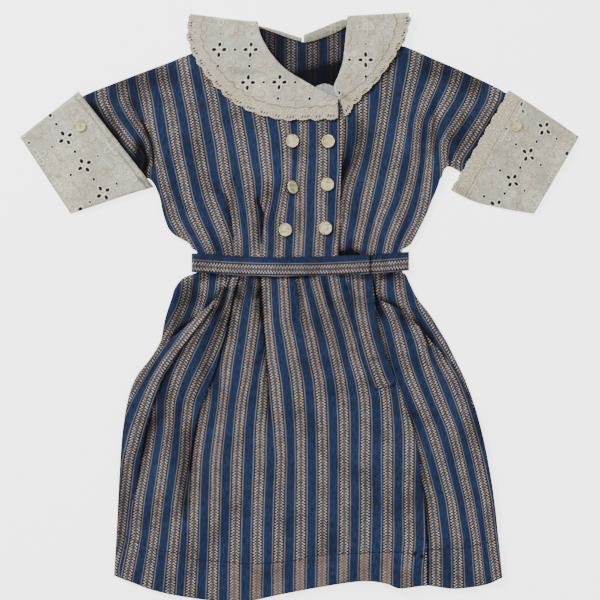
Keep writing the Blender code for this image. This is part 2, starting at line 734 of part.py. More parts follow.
def collar_low(side, x, y):
    """Underside of a collar half where it lies on the front."""
    under = bodice_left_low(x, y) if side < 0 else bodice_right_low(x, y)
    return under + CLOTH + GAP + COLLAR_PUFF


def collar_middle(side, stations, station_count, steps):
    """Middle surface of a collar half, from its rolled neck edge out to its scalloped edge."""
    rows = []
    for row in smooth_rows(stations, station_count):
        inner, outer, turn, roll, strip = row[0:2], row[2:4], row[4], row[5], row[6]
        length = float(np.linalg.norm(outer - inner))
        heading = (outer - inner) / length
        beyond = np.array([-heading[1], heading[0]]) * side
        half_turn = math.pi * min(max(float(turn), 0.0), 1.0)

        def sheet_point(distance):
            x, y = inner + heading * distance
            on_front = float(collar_low(side, np.array([x]), np.array([y]))[0]) + CLOTH / 2
            floor = CLOTH / 2
            radius = (on_front - floor) / 2
            place = inner + heading * distance + beyond * radius * math.sin(half_turn)
            return np.array([*place, floor + radius + radius * math.cos(half_turn)])

        outward = np.array([*(beyond * math.sin(half_turn)), math.cos(half_turn)])
        ahead = np.array([*heading, 0.0])
        start = sheet_point(COLLAR_ROLL)
        section = []
        roll_end = math.radians(min(max(float(roll), 45.0), 180.0))
        for share in (1.0, 0.75, 0.5, 0.25):
            a = roll_end * share
            spot = start - ahead * COLLAR_ROLL * math.sin(a) - outward * COLLAR_ROLL * (1.0 - math.cos(a))
            if share == 1.0:
                along = -ahead * math.cos(a) - outward * math.sin(a)
                section.append(spot + along * (0.4 + max(float(strip), 0.0)))
            section.append(spot)
        for t in np.linspace(0.0, 1.0, steps):
            section.append(sheet_point(COLLAR_ROLL + t * (length - COLLAR_ROLL)))
        rows.append(section)
    return np.array(rows)


def build_collars(eyelet):
    left = collar_middle(-1.0, COLLAR_LEFT_STATIONS, 34, 6)
    right = collar_middle(1.0, COLLAR_RIGHT_STATIONS, 34, 6)
    thick_sheet("collar_left", left[::-1], eyelet)
    thick_sheet("collar_right", right, eyelet)


def cuff_middle(sections, count, turn_steps, flat_steps):
    """Middle surface of a flattened tube: each section is a closed loop."""
    rows = []
    for ux, uy, lx, ly, air in smooth_rows(sections, count):
        upper, lower = np.array([ux, uy]), np.array([lx, ly])
        length = float(np.linalg.norm(lower - upper))
        heading = (lower - upper) / length
        radius = (air + CLOTH) / 2
        middle_z = CLOTH / 2 + radius
        first = CLOTH / 2 + radius
        last = length - first
        loop = []
        for t in np.linspace(0.0, 1.0, flat_steps):
            loop.append((*(upper + heading * (first + t * (last - first))), middle_z + radius))
        for k in range(1, turn_steps):
            a = math.pi * k / turn_steps
            loop.append((*(upper + heading * (last + radius * math.sin(a))),
                         middle_z + radius * math.cos(a)))
        for t in np.linspace(1.0, 0.0, flat_steps):
            loop.append((*(upper + heading * (first + t * (last - first))), middle_z - radius))
        for k in range(1, turn_steps):
            a = math.pi * k / turn_steps
            loop.append((*(upper + heading * (first - radius * math.sin(a))),
                         middle_z - radius * math.cos(a)))
        rows.append(loop)
    return np.array(rows)


def cuff_top(sections, x, y):
    """Upper face of a cuff at one place."""
    inner_edge = [sections[0][0:2], sections[0][2:4]]
    open_edge = [sections[-1][0:2], sections[-1][2:4]]
    from_inner, _ = path_distance(inner_edge, np.array([x]), np.array([y]))
    from_open, _ = path_distance(open_edge, np.array([x]), np.array([y]))
    share = float(from_inner[0] / (from_inner[0] + from_open[0]))
    air = np.interp(share, np.linspace(0.0, 1.0, len(sections)), [row[4] for row in sections])
    return 2 * CLOTH + float(air)


def build_cuffs(eyelet):
    thick_sheet("cuff_left", cuff_middle(CUFF_LEFT_SECTIONS, 7, 5, 9)[::-1], eyelet, closed=True)
    thick_sheet("cuff_right", cuff_middle(CUFF_RIGHT_SECTIONS, 7, 5, 9), eyelet, closed=True)


def build_button(name, x, y, seat, across, shell, lean=0.0, turn=0.0):
    """A turned disc with a rim, flat on its seat or leaning on one edge."""
    points = []
    faces = []
    rings = BUTTON_PROFILE[1:-1]
    points.append((0.0, 0.0, 0.0))
    for radius, high in rings:
        for k in range(BUTTON_SIDES):
            a = 2 * math.pi * k / BUTTON_SIDES
            points.append((radius * across / 2 * math.cos(a), radius * across / 2 * math.sin(a),
                           high * BUTTON_HIGH))
    points.append((0.0, 0.0, BUTTON_PROFILE[-1][1] * BUTTON_HIGH))
    for k in range(BUTTON_SIDES):
        after = (k + 1) % BUTTON_SIDES
        faces.append((0, 1 + after, 1 + k))
        for ring in range(len(rings) - 1):
            low = 1 + ring * BUTTON_SIDES
            high = low + BUTTON_SIDES
            faces.append((low + k, low + after, high + after, high + k))
        top = 1 + (len(rings) - 1) * BUTTON_SIDES
        faces.append((top + k, top + after, len(points) - 1))
    a = math.radians(lean)
    b = math.radians(turn)
    placed = []
    for px, py, pz in points:
        qx, qz = px * math.cos(a) + pz * math.sin(a), -px * math.sin(a) + pz * math.cos(a)
        placed.append((qx * math.cos(b) - py * math.sin(b), qx * math.sin(b) + py * math.cos(b), qz))
    lowest = min(point[2] for point in placed)
    moved = [(x + px, y + py, seat + pz - lowest) for px, py, pz in placed]
    add_mesh(name, moved, faces, shell)


def build_buttons(shell):
    around = [(share * math.cos(a), share * math.sin(a))
              for share in (0.0, 0.35, 0.7, 1.0) for a in np.linspace(0.0, 2 * math.pi, 16, endpoint=False)]
    for name, x, y, lean, turn in FRONT_BUTTONS:
        under = np.array([(x, y)]) + np.array(around) * BUTTON_ACROSS / 2
        seat = float(bodice_left_low(under[:, 0], under[:, 1]).max()) + CLOTH + GAP
        build_button(name, x, y, seat, BUTTON_ACROSS, shell, lean, turn)
    for name, x, y in CUFF_BUTTONS:
        sections = CUFF_LEFT_SECTIONS if x < 0 else CUFF_RIGHT_SECTIONS
        build_button(name, x, y, cuff_top(sections, x, y) + CUFF_BUTTON_AIR, CUFF_BUTTON_ACROSS, shell)


BINDING_RIBS = [
    (14, 234.5, 15, 226.6),
    (20, 238.6, 20, 226.8),
    (27, 240.6, 27, 226.8),
    (34, 239.2, 35, 227.5)]


def build_neck_binding(tape):
    """The bound neck edge of the lapped-under front, as far as it shows in the neck."""
    laid_panel("neck_binding", rib_grid(BINDING_RIBS, 8, 4),
               bodice_right_low, tape)


OUTLINE_CENTRE = (0.5, -0.25)


def build():
    clear_scene()
    stripes = material("striped_cotton", (0.075, 0.10, 0.19), 0.9)
    build_bodice(stripes)
    build_skirt_fronts(stripes)
    build_skirt_back(stripes)
    build_belt(stripes)
    build_belt_tab(stripes)
    eyelet = material("eyelet_cotton", (0.62, 0.58, 0.49), 0.85)
    build_collars(eyelet)
    build_cuffs(eyelet)
    shell = material("pearl_button", (0.74, 0.68, 0.50), 0.3)
    build_buttons(shell)
    tape = material("binding_tape", (0.48, 0.49, 0.44), 0.85)
    build_neck_binding(tape)


build()
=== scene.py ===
# %% [markdown]
# A child's shirt dress, laid flat and seen from straight above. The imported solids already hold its
# outline and its layers, so this script dresses them: it lays fine cloth on their form, folds it,
# prints the stripes, embroiders the collar and cuffs, and lights it like a studio photograph.

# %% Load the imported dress
import math
import bpy
import numpy as np
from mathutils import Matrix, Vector
from mathutils.bvhtree import BVHTree

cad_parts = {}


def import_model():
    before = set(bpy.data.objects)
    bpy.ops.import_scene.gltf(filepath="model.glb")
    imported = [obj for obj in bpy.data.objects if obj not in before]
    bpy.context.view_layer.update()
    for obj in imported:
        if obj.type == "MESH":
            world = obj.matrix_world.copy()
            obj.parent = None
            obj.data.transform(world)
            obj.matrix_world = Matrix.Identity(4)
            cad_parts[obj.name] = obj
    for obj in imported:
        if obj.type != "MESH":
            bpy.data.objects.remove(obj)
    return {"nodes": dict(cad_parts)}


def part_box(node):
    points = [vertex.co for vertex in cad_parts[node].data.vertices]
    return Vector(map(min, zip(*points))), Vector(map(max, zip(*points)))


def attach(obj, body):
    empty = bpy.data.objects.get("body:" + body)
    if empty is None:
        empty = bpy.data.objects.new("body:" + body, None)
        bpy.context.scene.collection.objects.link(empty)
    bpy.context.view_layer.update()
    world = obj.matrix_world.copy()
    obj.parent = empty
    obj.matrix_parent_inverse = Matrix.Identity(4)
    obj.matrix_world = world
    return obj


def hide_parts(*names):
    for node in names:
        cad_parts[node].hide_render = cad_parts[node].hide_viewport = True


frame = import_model()
bpy.context.view_layer.update()
nodes = frame["nodes"]
bpy.ops.object.select_all(action="DESELECT")

# %% [markdown]
# Sizes are written in millimetres, in the frame that the dress was drafted in: x runs to the viewer's
# right and y towards the collar. One function turns such a place into the world's metres, so no other
# line needs to know where the dress was centred.

# %% Millimetres to metres
MM = 0.001
DRAFT_CENTRE = np.array([0.5, -0.25, 0.0])
STRIPE = 23.2        # one repeat of the stripes, from band to band
CLOTH = 1.0          # the cloth as it is seen, thinner than its solid
HALF_WALL = 0.75     # from the middle of a solid's wall to its face


def world(points):
    """Places of the draft, in millimetres, as places of the world."""
    return (np.asarray(points, dtype=float) - DRAFT_CENTRE) * MM


def soft_step(value):
    """0 below 0 and 1 above 1, with a smooth rise between them."""
    t = np.clip(value, 0.0, 1.0)
    return t * t * (3.0 - 2.0 * t)


def bump_at(distance, width):
    """1 at no distance, and close to 0 at twice the width."""
    return np.exp(-(distance / width) ** 2)


print("one stripe repeat is", STRIPE, "mm")

# %% [markdown]
# A tailor's outline is a few points joined by a smooth line. The Catmull-Rom curve goes through every
# point of a short table, which makes a table easy to read beside the photograph: each row is a place
# on the cloth, not a handle next to it.

# %% Smooth lines through short tables
def run_along(line):
    """How far along a line of points each of them lies."""
    return np.concatenate([[0.0], np.cumsum(np.linalg.norm(np.diff(line, axis=0), axis=1))])


def smooth_rows(rows, count):
    """Rows of a table joined by a Catmull-Rom curve and read at count even steps of its length."""
    table = np.array(rows, dtype=float)
    padded = np.vstack([2 * table[0] - table[1], table, 2 * table[-1] - table[-2]])
    t = np.linspace(0.0, 1.0, 16, endpoint=False)[:, None]
    parts = []
    for p0, p1, p2, p3 in zip(padded, padded[1:], padded[2:], padded[3:]):
        parts.append(0.5 * (2 * p1 + (p2 - p0) * t + (2 * p0 - 5 * p1 + 4 * p2 - p3) * t ** 2
                            + (3 * p1 - p0 - 3 * p2 + p3) * t ** 3))
    fine = np.vstack(parts + [table[-1:]])
    length = run_along(fine)
    wanted = np.linspace(0.0, length[-1], count)
    return np.stack([np.interp(wanted, length, column) for column in fine.T], axis=1)


def grid_between(rows, count, shares):
    """A grid of places between two edges, where a row of the table holds a place on each of them."""
    table = smooth_rows(rows, count)
    t = np.asarray(shares)[None, :, None]
    return (1.0 - t) * table[:, None, 0:2] + t * table[:, None, 2:4]


def path_distance(path, x, y):
    """Distance from each place to a path, and how far along the path that is, 0 to 1."""
    best = np.full(np.shape(x), 1e9)
    along = np.zeros(np.shape(x))
    pieces = len(path) - 1
    for i in range(pieces):
        (ax, ay), (bx, by) = path[i][:2], path[i + 1][:2]
        dx, dy = bx - ax, by - ay
        t = np.clip(((x - ax) * dx + (y - ay) * dy) / (dx * dx + dy * dy), 0.0, 1.0)
        gap = np.hypot(x - ax - t * dx, y - ay - t * dy)
        nearer = gap < best
        best = np.where(nearer, gap, best)
        along = np.where(nearer, (i + t) / pieces, along)
    return best, along


print("a quarter circle of 10 mm runs for", round(run_along(smooth_rows(
    [(10 * math.cos(a), 10 * math.sin(a)) for a in np.radians((0, 30, 60, 90))], 20))[-1], 2), "mm")

# %% [markdown]
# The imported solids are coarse, but their heights are right: the belt presses the cloth down, the
# collar lifts the back, and one front laps over the other. Each fine panel reads those heights by
# looking straight down on its own solid, and then smooths them, as cloth would.

# %% Read heights from the solids
RAY_FROM = 0.1       # metres above the table, higher than all of the dress
NEAREST_TO = 0.02


class Surface:
    """The upper face of a mesh, read from above."""

    def __init__(self, mesh):
        self.tree = BVHTree.FromPolygons([v.co for v in mesh.vertices],
                                         [tuple(p.vertices) for p in mesh.polygons])

    def top(self, x, y):
        """Height in millimetres at places of the draft; beside the mesh, that of its nearest place."""
        places = world(np.stack([x, y, np.zeros(np.shape(x))], axis=-1)).reshape(-1, 3)
        heights = np.empty(len(places))
        for i, (px, py, _) in enumerate(places):
            hit = self.tree.ray_cast(Vector((px, py, RAY_FROM)), Vector((0, 0, -1)))[0]
            if hit is None:
                hit = self.tree.find_nearest(Vector((px, py, NEAREST_TO)))[0]
            heights[i] = hit.z / MM
        return heights.reshape(np.shape(x))


def smoothed(grid, times):
    """A grid of heights after so many passes of a 1-2-1 filter along both of its sides."""
    for _ in range(times):
        for axis in (0, 1):
            edge = np.pad(grid, [(1, 1) if k == axis else (0, 0) for k in (0, 1)], mode="edge")
            before, middle, after = (np.take(edge, range(s, s + grid.shape[axis]), axis=axis)
                                     for s in (0, 1, 2))
            grid = (before + 2 * middle + after) / 4
    return grid


def laid(places, node, lift, passes):
    """Points of a panel on the smoothed upper face of its solid, with lift added to it."""
    heights = smoothed(SURFACES[node].top(places[..., 0], places[..., 1]), passes)
    return np.dstack([places, heights + lift])


SURFACES = {node: Surface(nodes[node].data) for node in (
    "bodice_back", "bodice_front_left", "bodice_front_right", "skirt_front_left", "skirt_front_right",
    "belt", "belt_tab")}
print("solids read from above", len(SURFACES))

# %% [markdown]
# Shader maths is easier to read as sums than as a drawing of nodes. The small class below wraps a
# socket, and its operators add the Math nodes. Other nodes all come from one method of the material
# class, which takes the node's type, its settings and the values or links of its sockets.

# %% Shader sums
class Wire:
    """One output socket of a shader, which can be added, multiplied and compared."""

    def __init__(self, shade, socket):
        self.shade = shade
        self.socket = socket

    def math(self, operation, *others):
        values = dict(enumerate((self, *others)))
        return self.shade.node("ShaderNodeMath", {"operation": operation}, values)

    def __rsub__(self, other):
        return (self * -1.0) + other

    def wave(self):
        return (self * (2 * math.pi)).math("SINE")

    def rise(self, start, end):
        """0 up to start and 1 from end on, softly between them."""
        values = {0: self, 1: start, 2: end, 3: 0.0, 4: 1.0}
        return self.shade.node("ShaderNodeMapRange", {"interpolation_type": "SMOOTHSTEP"}, values)

    def fall(self, start, end):
        """1 up to start and 0 from end on, softly between them."""
        return 1.0 - self.rise(start, end)


def math_method(operation):
    """A method of a wire that adds one Math node. Python calls __add__ where two wires are added."""
    def method(self, *others):
        return self.math(operation, *others)
    return method


for name, operation in (("__add__", "ADD"), ("__radd__", "ADD"), ("__sub__", "SUBTRACT"),
                        ("__mul__", "MULTIPLY"), ("__rmul__", "MULTIPLY"), ("__truediv__", "DIVIDE"),
                        ("__pow__", "POWER"), ("size", "ABSOLUTE"), ("fraction", "FRACT"),
                        ("lower", "MINIMUM"), ("higher", "MAXIMUM")):
    setattr(Wire, name, math_method(operation))


class Shade:
    """A material with one Principled shader, and the values of that shader's sockets."""

    def __init__(self, name, values):
        self.material = bpy.data.materials.new(name)
        self.material.use_nodes = True
        self.tree = self.material.node_tree
        self.principled = self.tree.nodes["Principled BSDF"]
        for key, value in values.items():
            self.principled.inputs[key].default_value = value

    def node(self, kind, settings, values, output=0):
        """A node of this kind, with its settings first and then the values or links of its sockets."""
        made = self.tree.nodes.new(kind)
        for key, value in settings.items():
            setattr(made, key, value)
        for key, value in values.items():
            if isinstance(value, Wire):
                self.tree.links.new(value.socket, made.inputs[key])
            else:
                made.inputs[key].default_value = value
        return Wire(self, made.outputs[output])

    def mix(self, share, first, second):
        """The first colour where share is 0 and the second where it is 1."""
        return self.node("ShaderNodeMix", {"data_type": "RGBA"}, {0: share, 6: first, 7: second}, 2)

    def paint(self, base, *layers):
        """Colours laid over a base in turn, each as strongly as its share says."""
        for share, tint in layers:
            base = self.mix(share, base, tint)
        return base

    def uv(self, name):
        place = self.node("ShaderNodeUVMap", {"uv_map": name}, {})
        return [self.node("ShaderNodeSeparateXYZ", {}, {0: place}, k) for k in (0, 1)]

    def noise(self, size, detail=2.0, stretch=(1.0, 1.0, 1.0), roughness=0.5):
        """Soft blotches about so many millimetres across, on the piece's own place."""
        place = self.node("ShaderNodeTexCoord", {}, {}, "Object")
        scale = tuple(s / (size * MM) for s in stretch)
        place = self.node("ShaderNodeMapping", {}, {"Vector": place, "Scale": scale})
        return self.node("ShaderNodeTexNoise", {}, {"Vector": place, "Scale": 1.0, "Detail": detail,
                                                    "Roughness": roughness})

    def feed(self, name, wire):
        self.tree.links.new(wire.socket, self.principled.inputs[name])

    def relief(self, height, distance, strength=1.0):
        """Raises the finish by height, which runs from 0 to 1, over so many millimetres."""
        values = {"Height": height, "Distance": distance * MM, "Strength": strength}
        self.feed("Normal", self.node("ShaderNodeBump", {}, values))


def colour(red, green, blue):
    """A colour read off a screen, 0 to 255, as the linear one that a shader wants."""
    return tuple(((c / 255 + 0.055) / 1.055) ** 2.4 if c > 10 else c / 3295
                 for c in (red, green, blue)) + (1.0,)


print("shader helpers are ready")

# %% [markdown]
# The dress is woven in stripes. Navy ground alternates with beige bands, and each band is a herringbone
# of two mirrored columns beside a dark middle, with a fine beige line at each side. The pattern reads a
# UV map of the piece's own: across counts the stripe repeats and along runs down the cloth, so the
# stripes bend where the cloth bends and jump where a pleat hides some of it.

# %% Striped cotton
BAND_HALF = 4.5          # half a herringbone band, in millimetres
BAND_MIDDLE = 1.25       # half its greyish middle
COLUMN_AT = 2.85         # where a column's dashes step over by half a repeat, from the middle
CHEVRON = 3.15           # one herringbone step along the cloth
LINE_AT = 6.6            # fine line, from the middle of the band
LINE_HALF = 0.55
HEM_MARK = 100.0         # the hem map says this at the hem's stitching, and more below it
HEM_STITCH = 6.5         # from stitch to stitch
WORN_AT, WORN_HALF = 20.0, 95.0      # the worn part of the hem, across the skirt


def striped_cotton():
    shade = Shade("striped_cotton", {"Roughness": 0.9, "Sheen Weight": 0.02, "Specular IOR Level": 0.12})
    across, along = shade.uv("cloth")
    hem_across, hem_below = shade.uv("hem")
    dark = shade.uv("shade")[0]
    thread = shade.noise(1.7, detail=3.0, stretch=(1.0, 0.3, 1.0))
    fading = shade.noise(60.0, detail=3.0)
    random_painted_shade = shade.noise(34.0, detail=4.0, roughness=0.6)
    wobble = shade.noise(7.0, detail=1.0) * 0.3
    from_middle = (((across + 0.5).fraction() - 0.5) * STRIPE).size()
    band = from_middle.fall(BAND_HALF - 0.3, BAND_HALF + 0.3)
    middle = from_middle.fall(BAND_MIDDLE - 0.3, BAND_MIDDLE + 0.4)
    fine = (from_middle - LINE_AT).size().fall(LINE_HALF - 0.25, LINE_HALF + 0.3)
    step_over = from_middle.rise(COLUMN_AT - 0.45, COLUMN_AT + 0.45) * 0.5
    stitch = (along / CHEVRON + step_over + wobble).wave().rise(-0.05, 0.4) * band
    # the hem's own wear: the cloth is browner across its middle below the stitching
    wear_and_wrinkle_shading = hem_below.rise(HEM_MARK, HEM_MARK + 2.0)
    wear_and_wrinkle_shading = wear_and_wrinkle_shading * ((hem_across - WORN_AT) / WORN_HALF).size().fall(0.7, 1.3)
    sewn = (hem_below - HEM_MARK).size().fall(0.3, 0.8)
    sewn = sewn * ((hem_across / HEM_STITCH).wave() * 0.25 + 0.65)
    navy = shade.mix(thread.rise(0.2, 0.8), colour(17, 28, 50), colour(34, 49, 79))
    beige = shade.mix(thread.rise(0.3, 0.8), colour(150, 131, 108), colour(214, 190, 160))
    grey = shade.mix(thread.rise(0.3, 0.8), colour(50, 57, 74), colour(84, 87, 98))
    cloth = shade.paint(
        navy,
        (fading.rise(0.45, 0.8) * 0.25, colour(42, 56, 82)),
        (band, colour(19, 24, 38)),
        (stitch, beige),
        (middle, grey),
        (fine * 0.75, colour(112, 106, 106)),
        (wear_and_wrinkle_shading * band * 0.6, colour(112, 96, 88)),
        (sewn, colour(10, 15, 30)),
        # painted shade: soft dark patches at random, then the shade map's painted shadows in folds and
        # deep places
        (random_painted_shade.rise(0.42, 0.72) * 0.42, colour(8, 12, 24)),
        ((dark * 1.1).lower(0.98), colour(5, 6, 12)))
    shade.feed("Base Color", cloth)
    shade.relief(shade.noise(0.8, detail=2.0) * 0.5 + stitch * 0.5, 0.25, 0.6)
    return shade.material


FINISHES = {"striped_cotton": striped_cotton()}
print("striped cotton has", len(FINISHES["striped_cotton"].node_tree.nodes), "nodes")

# %% [markdown]
# The collar and cuffs are cut from eyelet cloth: off-white cotton with rows of flowers. A flower is four
# punched petals with raised rims, a single eyelet sits halfway to the next one, and a flower in plain
# satin stitch fills each space between the rows. One UV map counts the repeats of that pattern, and a
# second gives the way along and in from the lace edge, where pinpricks and slits follow the scallops.

# %% Eyelet cotton
FLOWER_REPEAT = 36.0     # from flower to flower
PETAL = (5.7, 2.5, 1.8)  # from a flower's middle to that of a petal, and half the petal's two sizes
SATIN_PETAL = (5.0, 3.9, 1.9)
LACE_WIDE = 15.5
SCALLOP = 15.0
SLIT_EVERY = 3.2
SLIT_IN = 4.3            # from the lace's edge to the middle of its slits
KNOT = 2.7               # from knot to knot in the lace


def oval(p, q, out, long, wide):
    """How far a place is out of an oval that lies at out along p, as a share of the oval's size."""
    return (((p - out) / long) ** 2.0 + (q / wide) ** 2.0).math("SQRT")


def eyelet_cotton():
    shade = Shade("eyelet_cotton", {"Roughness": 0.9, "Sheen Weight": 0.03, "Specular IOR Level": 0.15})
    p, q = shade.uv("flowers")
    edge_along, edge_in = shade.uv("edge")
    dark_folds, opened = shade.uv("shade")
    thread = shade.noise(1.5, detail=2.0)
    cloudy = shade.noise(30.0, detail=3.0)
    tint = shade.noise(44.0, detail=3.0)
    puckers = shade.noise(9.0, detail=4.0, roughness=0.6)
    wear_and_wrinkle_shading = shade.noise(6.0, detail=4.0, roughness=0.7)
    uneven = shade.noise(4.0, detail=2.0) - 0.5
    opened = opened + shade.noise(9.0, detail=0.0) * 0.9 - 0.45
    home_p, home_q = (((w + 0.5).fraction() - 0.5) * FLOWER_REPEAT for w in (p, q))
    half_p, half_q = ((w.fraction() - 0.5) * FLOWER_REPEAT for w in (p, q))

    in_body = edge_in.rise(LACE_WIDE - 1.0, LACE_WIDE + 1.5)
    petals = oval(home_p.size(), home_q, *PETAL).lower(oval(home_q.size(), home_p, *PETAL))
    dots = oval(half_p, home_q, 0.0, 1.6, 1.4).lower(oval(half_q, home_p, 0.0, 1.5, 1.4))
    holes = petals.lower(dots) + uneven * 0.5
    rim = (holes - 1.5).size().fall(0.25, 0.7) * in_body
    outline = (holes - 2.15).size().fall(0.1, 0.45) * in_body
    dark_painted_holes = holes.fall(0.8, 1.05) * in_body * opened.rise(0.5, 0.62)
    satin = oval(half_p.size(), half_q, *SATIN_PETAL).lower(oval(half_q.size(), half_p, *SATIN_PETAL))
    satin = satin + uneven * 0.5
    sewn = satin.fall(0.75, 1.1) * in_body
    sewn_edge = (satin - 1.12).size().fall(0.08, 0.36) * in_body

    near_dip = (((edge_along / SCALLOP).fraction() - 0.5) * SCALLOP).size().fall(4.0, 4.9)
    slit_along = ((edge_along / SLIT_EVERY).fraction() - 0.5) * SLIT_EVERY
    slits = oval(slit_along, edge_in - SLIT_IN, 0.0, 0.95, 1.7) + uneven * 0.8
    dark_painted_holes = dark_painted_holes.higher(slits.fall(0.75, 1.1) * near_dip * opened.rise(0.42, 0.6) * 0.9)
    knot_place = shade.node("ShaderNodeCombineXYZ", {}, {0: edge_along / KNOT, 1: edge_in / KNOT})
    knots = shade.node("ShaderNodeTexVoronoi", {"feature": "F1"},
                       {"Vector": knot_place, "Scale": 1.0, "Randomness": 0.55})
    lace = edge_in.fall(LACE_WIDE - 0.6, LACE_WIDE)
    knotted = lace * knots.rise(0.32, 0.6)
    seam = (edge_in - LACE_WIDE).size().fall(0.5, 1.1)
    cord = (edge_in - LACE_WIDE - 1.6).size().fall(0.4, 1.2)

    cloth = shade.paint(
        shade.mix(cloudy.rise(0.35, 0.7), colour(180, 174, 156), colour(216, 210, 190)),
        (thread.rise(0.35, 0.65) * 0.6, colour(150, 143, 126)),
        # painted shade and painted light of small wrinkles, as soft random patches
        (wear_and_wrinkle_shading.rise(0.44, 0.62) * 0.6, colour(142, 137, 120)),
        (wear_and_wrinkle_shading.lower(0.5).rise(0.42, 0.3) * 0.3, colour(222, 218, 202)),
        (tint.rise(0.45, 0.65) * 0.5, colour(160, 166, 156)),
        (lace * 0.8, colour(212, 202, 176)),
        (knotted * 0.6, colour(146, 128, 106)),
        (sewn * 0.55, colour(196, 172, 150)),
        (sewn_edge * 0.4, colour(150, 124, 104)),
        (rim * 0.7, colour(216, 204, 186)),
        (outline * 0.3, colour(150, 132, 114)),
        (seam * 0.5, colour(138, 118, 98)),
        (cord * 0.5, colour(210, 196, 176)),
        # the open eyelets are painted near-black: the dark cloth seen through them, and painted shade
        # where paler cloth lies beneath
        (dark_painted_holes, colour(12, 14, 24)),
        (dark_folds * 0.85, colour(40, 34, 30)))
    shade.feed("Base Color", cloth)
    raised = thread * 0.12 + puckers * 0.75 + sewn * 0.25 + rim * 0.35 + cord * 0.3
    sunk = (knotted * 0.35).higher(dark_painted_holes * 0.5) + seam * 0.25
    shade.relief(raised - sunk, 1.9)
    return shade.material


FINISHES["eyelet_cotton"] = eyelet_cotton()
print("eyelet cotton has", len(FINISHES["eyelet_cotton"].node_tree.nodes), "nodes")

# %% [markdown]
# The small finishes come next: shell buttons with their cloudy gloss, the cotton thread that holds them,
# the tape round the neck, and the near-black thread of the hem's top stitching.

# %% Shell, thread and tape
def shell():
    shade = Shade("pearl_button", {"Roughness": 0.24, "Coat Weight": 0.25, "Coat Roughness": 0.15})
    clouds = shade.noise(4.5, detail=3.0, stretch=(1.0, 1.7, 1.0))
    grain = shade.noise(1.2, detail=2.0, stretch=(0.4, 1.5, 1.0))
    tone = shade.mix(clouds.rise(0.35, 0.7), colour(150, 138, 88), colour(214, 204, 158))
    shade.feed("Base Color", shade.mix(grain.rise(0.5, 0.8) * 0.2, tone, colour(126, 112, 76)))
    shade.relief(clouds, 0.1, 0.4)
    return shade.material


def spun(name, light, dark, twist=0.8):
    """Thread or tape, mottled between two colours about so many millimetres apart."""
    shade = Shade(name, {"Roughness": 0.85, "Sheen Weight": 0.1})
    tone = shade.noise(twist, detail=2.0)
    shade.feed("Base Color", shade.mix(tone.rise(0.3, 0.7), dark, light))
    shade.relief(tone, 0.2, 0.6)
    return shade.material


FINISHES["pearl_button"] = shell()
PALE_THREAD = spun("pale_thread", colour(232, 222, 196), colour(190, 176, 146))
NAVY_THREAD = spun("navy_thread", colour(34, 44, 72), colour(14, 18, 34))
# the tape is cream; these colours are painted shade, the grey-green that it shows deep in the neck
FINISHES["binding_tape"] = spun("binding_tape", colour(150, 156, 154), colour(110, 118, 118), twist=1.5)
print("finishes for", sorted(FINISHES))

# %% [markdown]
# Every piece of cloth starts as a flat grid with as many squares as the piece needs. Its points are
# then laid where the draft says, its UV map is filled in face by face, and a Solidify modifier gives it
# its thickness. Doing the map by faces lets a pleat cut the stripes off sharply, as a real fold does.

# %% Lay a sheet of cloth
SAME_PLACE = 0.00002     # metres between points of a closed tube that are joined into one
FRONT_FROM, FRONT_OVER = 5.0, 2.0    # a belt or collar passes from behind to the front at this height
made = {}


def share_on_front(z):
    """0 where a sheet that goes round an edge lies behind, and 1 where it lies in front."""
    return soft_step((z - FRONT_FROM) / FRONT_OVER)


def mesh_points(mesh):
    flat = np.empty(len(mesh.vertices) * 3)
    mesh.vertices.foreach_get("co", flat)
    return flat.reshape(-1, 3)


def fill_maps(mesh, points, corners, maps):
    """UV maps from pairs of grids, or from functions of the points and the faces' corners."""
    mesh.uv_layers.remove(mesh.uv_layers[0])
    for name, values in maps.items():
        if callable(values):
            values = values(points, corners)
        else:
            values = np.stack([grid[corners] for grid in values], axis=-1)
        layer = mesh.uv_layers.new(name=name)
        layer.data.foreach_set("uv", values.astype(np.float32).ravel())


def shade_grids(dark, opened=0.0):
    """The shade map: how much shadow lies in the folds, and how many of the eyelets are open."""
    return np.clip(dark, 0.0, 1.0), np.broadcast_to(opened, dark.shape)


def place_in(piece, node):
    """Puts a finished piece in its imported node's place."""
    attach(piece, "root")
    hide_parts(node)
    made[node] = piece
    print(piece.name, "stands for", node, "with", len(piece.data.polygons), "faces")


def join_ends():
    """Closes a tube whose last column of points lies on its first."""
    bpy.ops.object.mode_set(mode="EDIT")
    bpy.ops.mesh.select_all(action="SELECT")
    bpy.ops.mesh.remove_doubles(threshold=SAME_PLACE)
    bpy.ops.object.mode_set(mode="OBJECT")


def lay_cloth(node, points, slot, maps, kind="cloth", closed=False, thickness=CLOTH, offset=-1.0):
    """A sheet of cloth through a grid of points in millimetres, in the place of its node."""
    rows, columns = points.shape[:2]
    bpy.ops.mesh.primitive_grid_add(x_subdivisions=columns - 1, y_subdivisions=rows - 1, size=2.0)
    piece = bpy.context.object
    piece.name = node + "_" + kind
    mesh = piece.data
    flat = mesh_points(mesh)
    column = np.rint((flat[:, 0] + 1) / 2 * (columns - 1)).astype(int)
    row = np.rint((flat[:, 1] + 1) / 2 * (rows - 1)).astype(int)
    mesh.vertices.foreach_set("co", world(points[row, column]).ravel())
    corner = np.empty(len(mesh.loops), dtype=int)
    mesh.loops.foreach_get("vertex_index", corner)
    fill_maps(mesh, points, (row[corner].reshape(-1, 4), column[corner].reshape(-1, 4)), maps)
    mesh.materials.append(FINISHES[slot])
    if closed:
        join_ends()
    bpy.ops.object.shade_smooth()
    wall = piece.modifiers.new("wall", "SOLIDIFY")
    wall.thickness = thickness * MM
    wall.offset = offset
    bpy.ops.object.modifier_apply(modifier=wall.name)
    bpy.ops.object.select_all(action="DESELECT")
    place_in(piece, node)


print("cloth is", CLOTH, "mm thick")

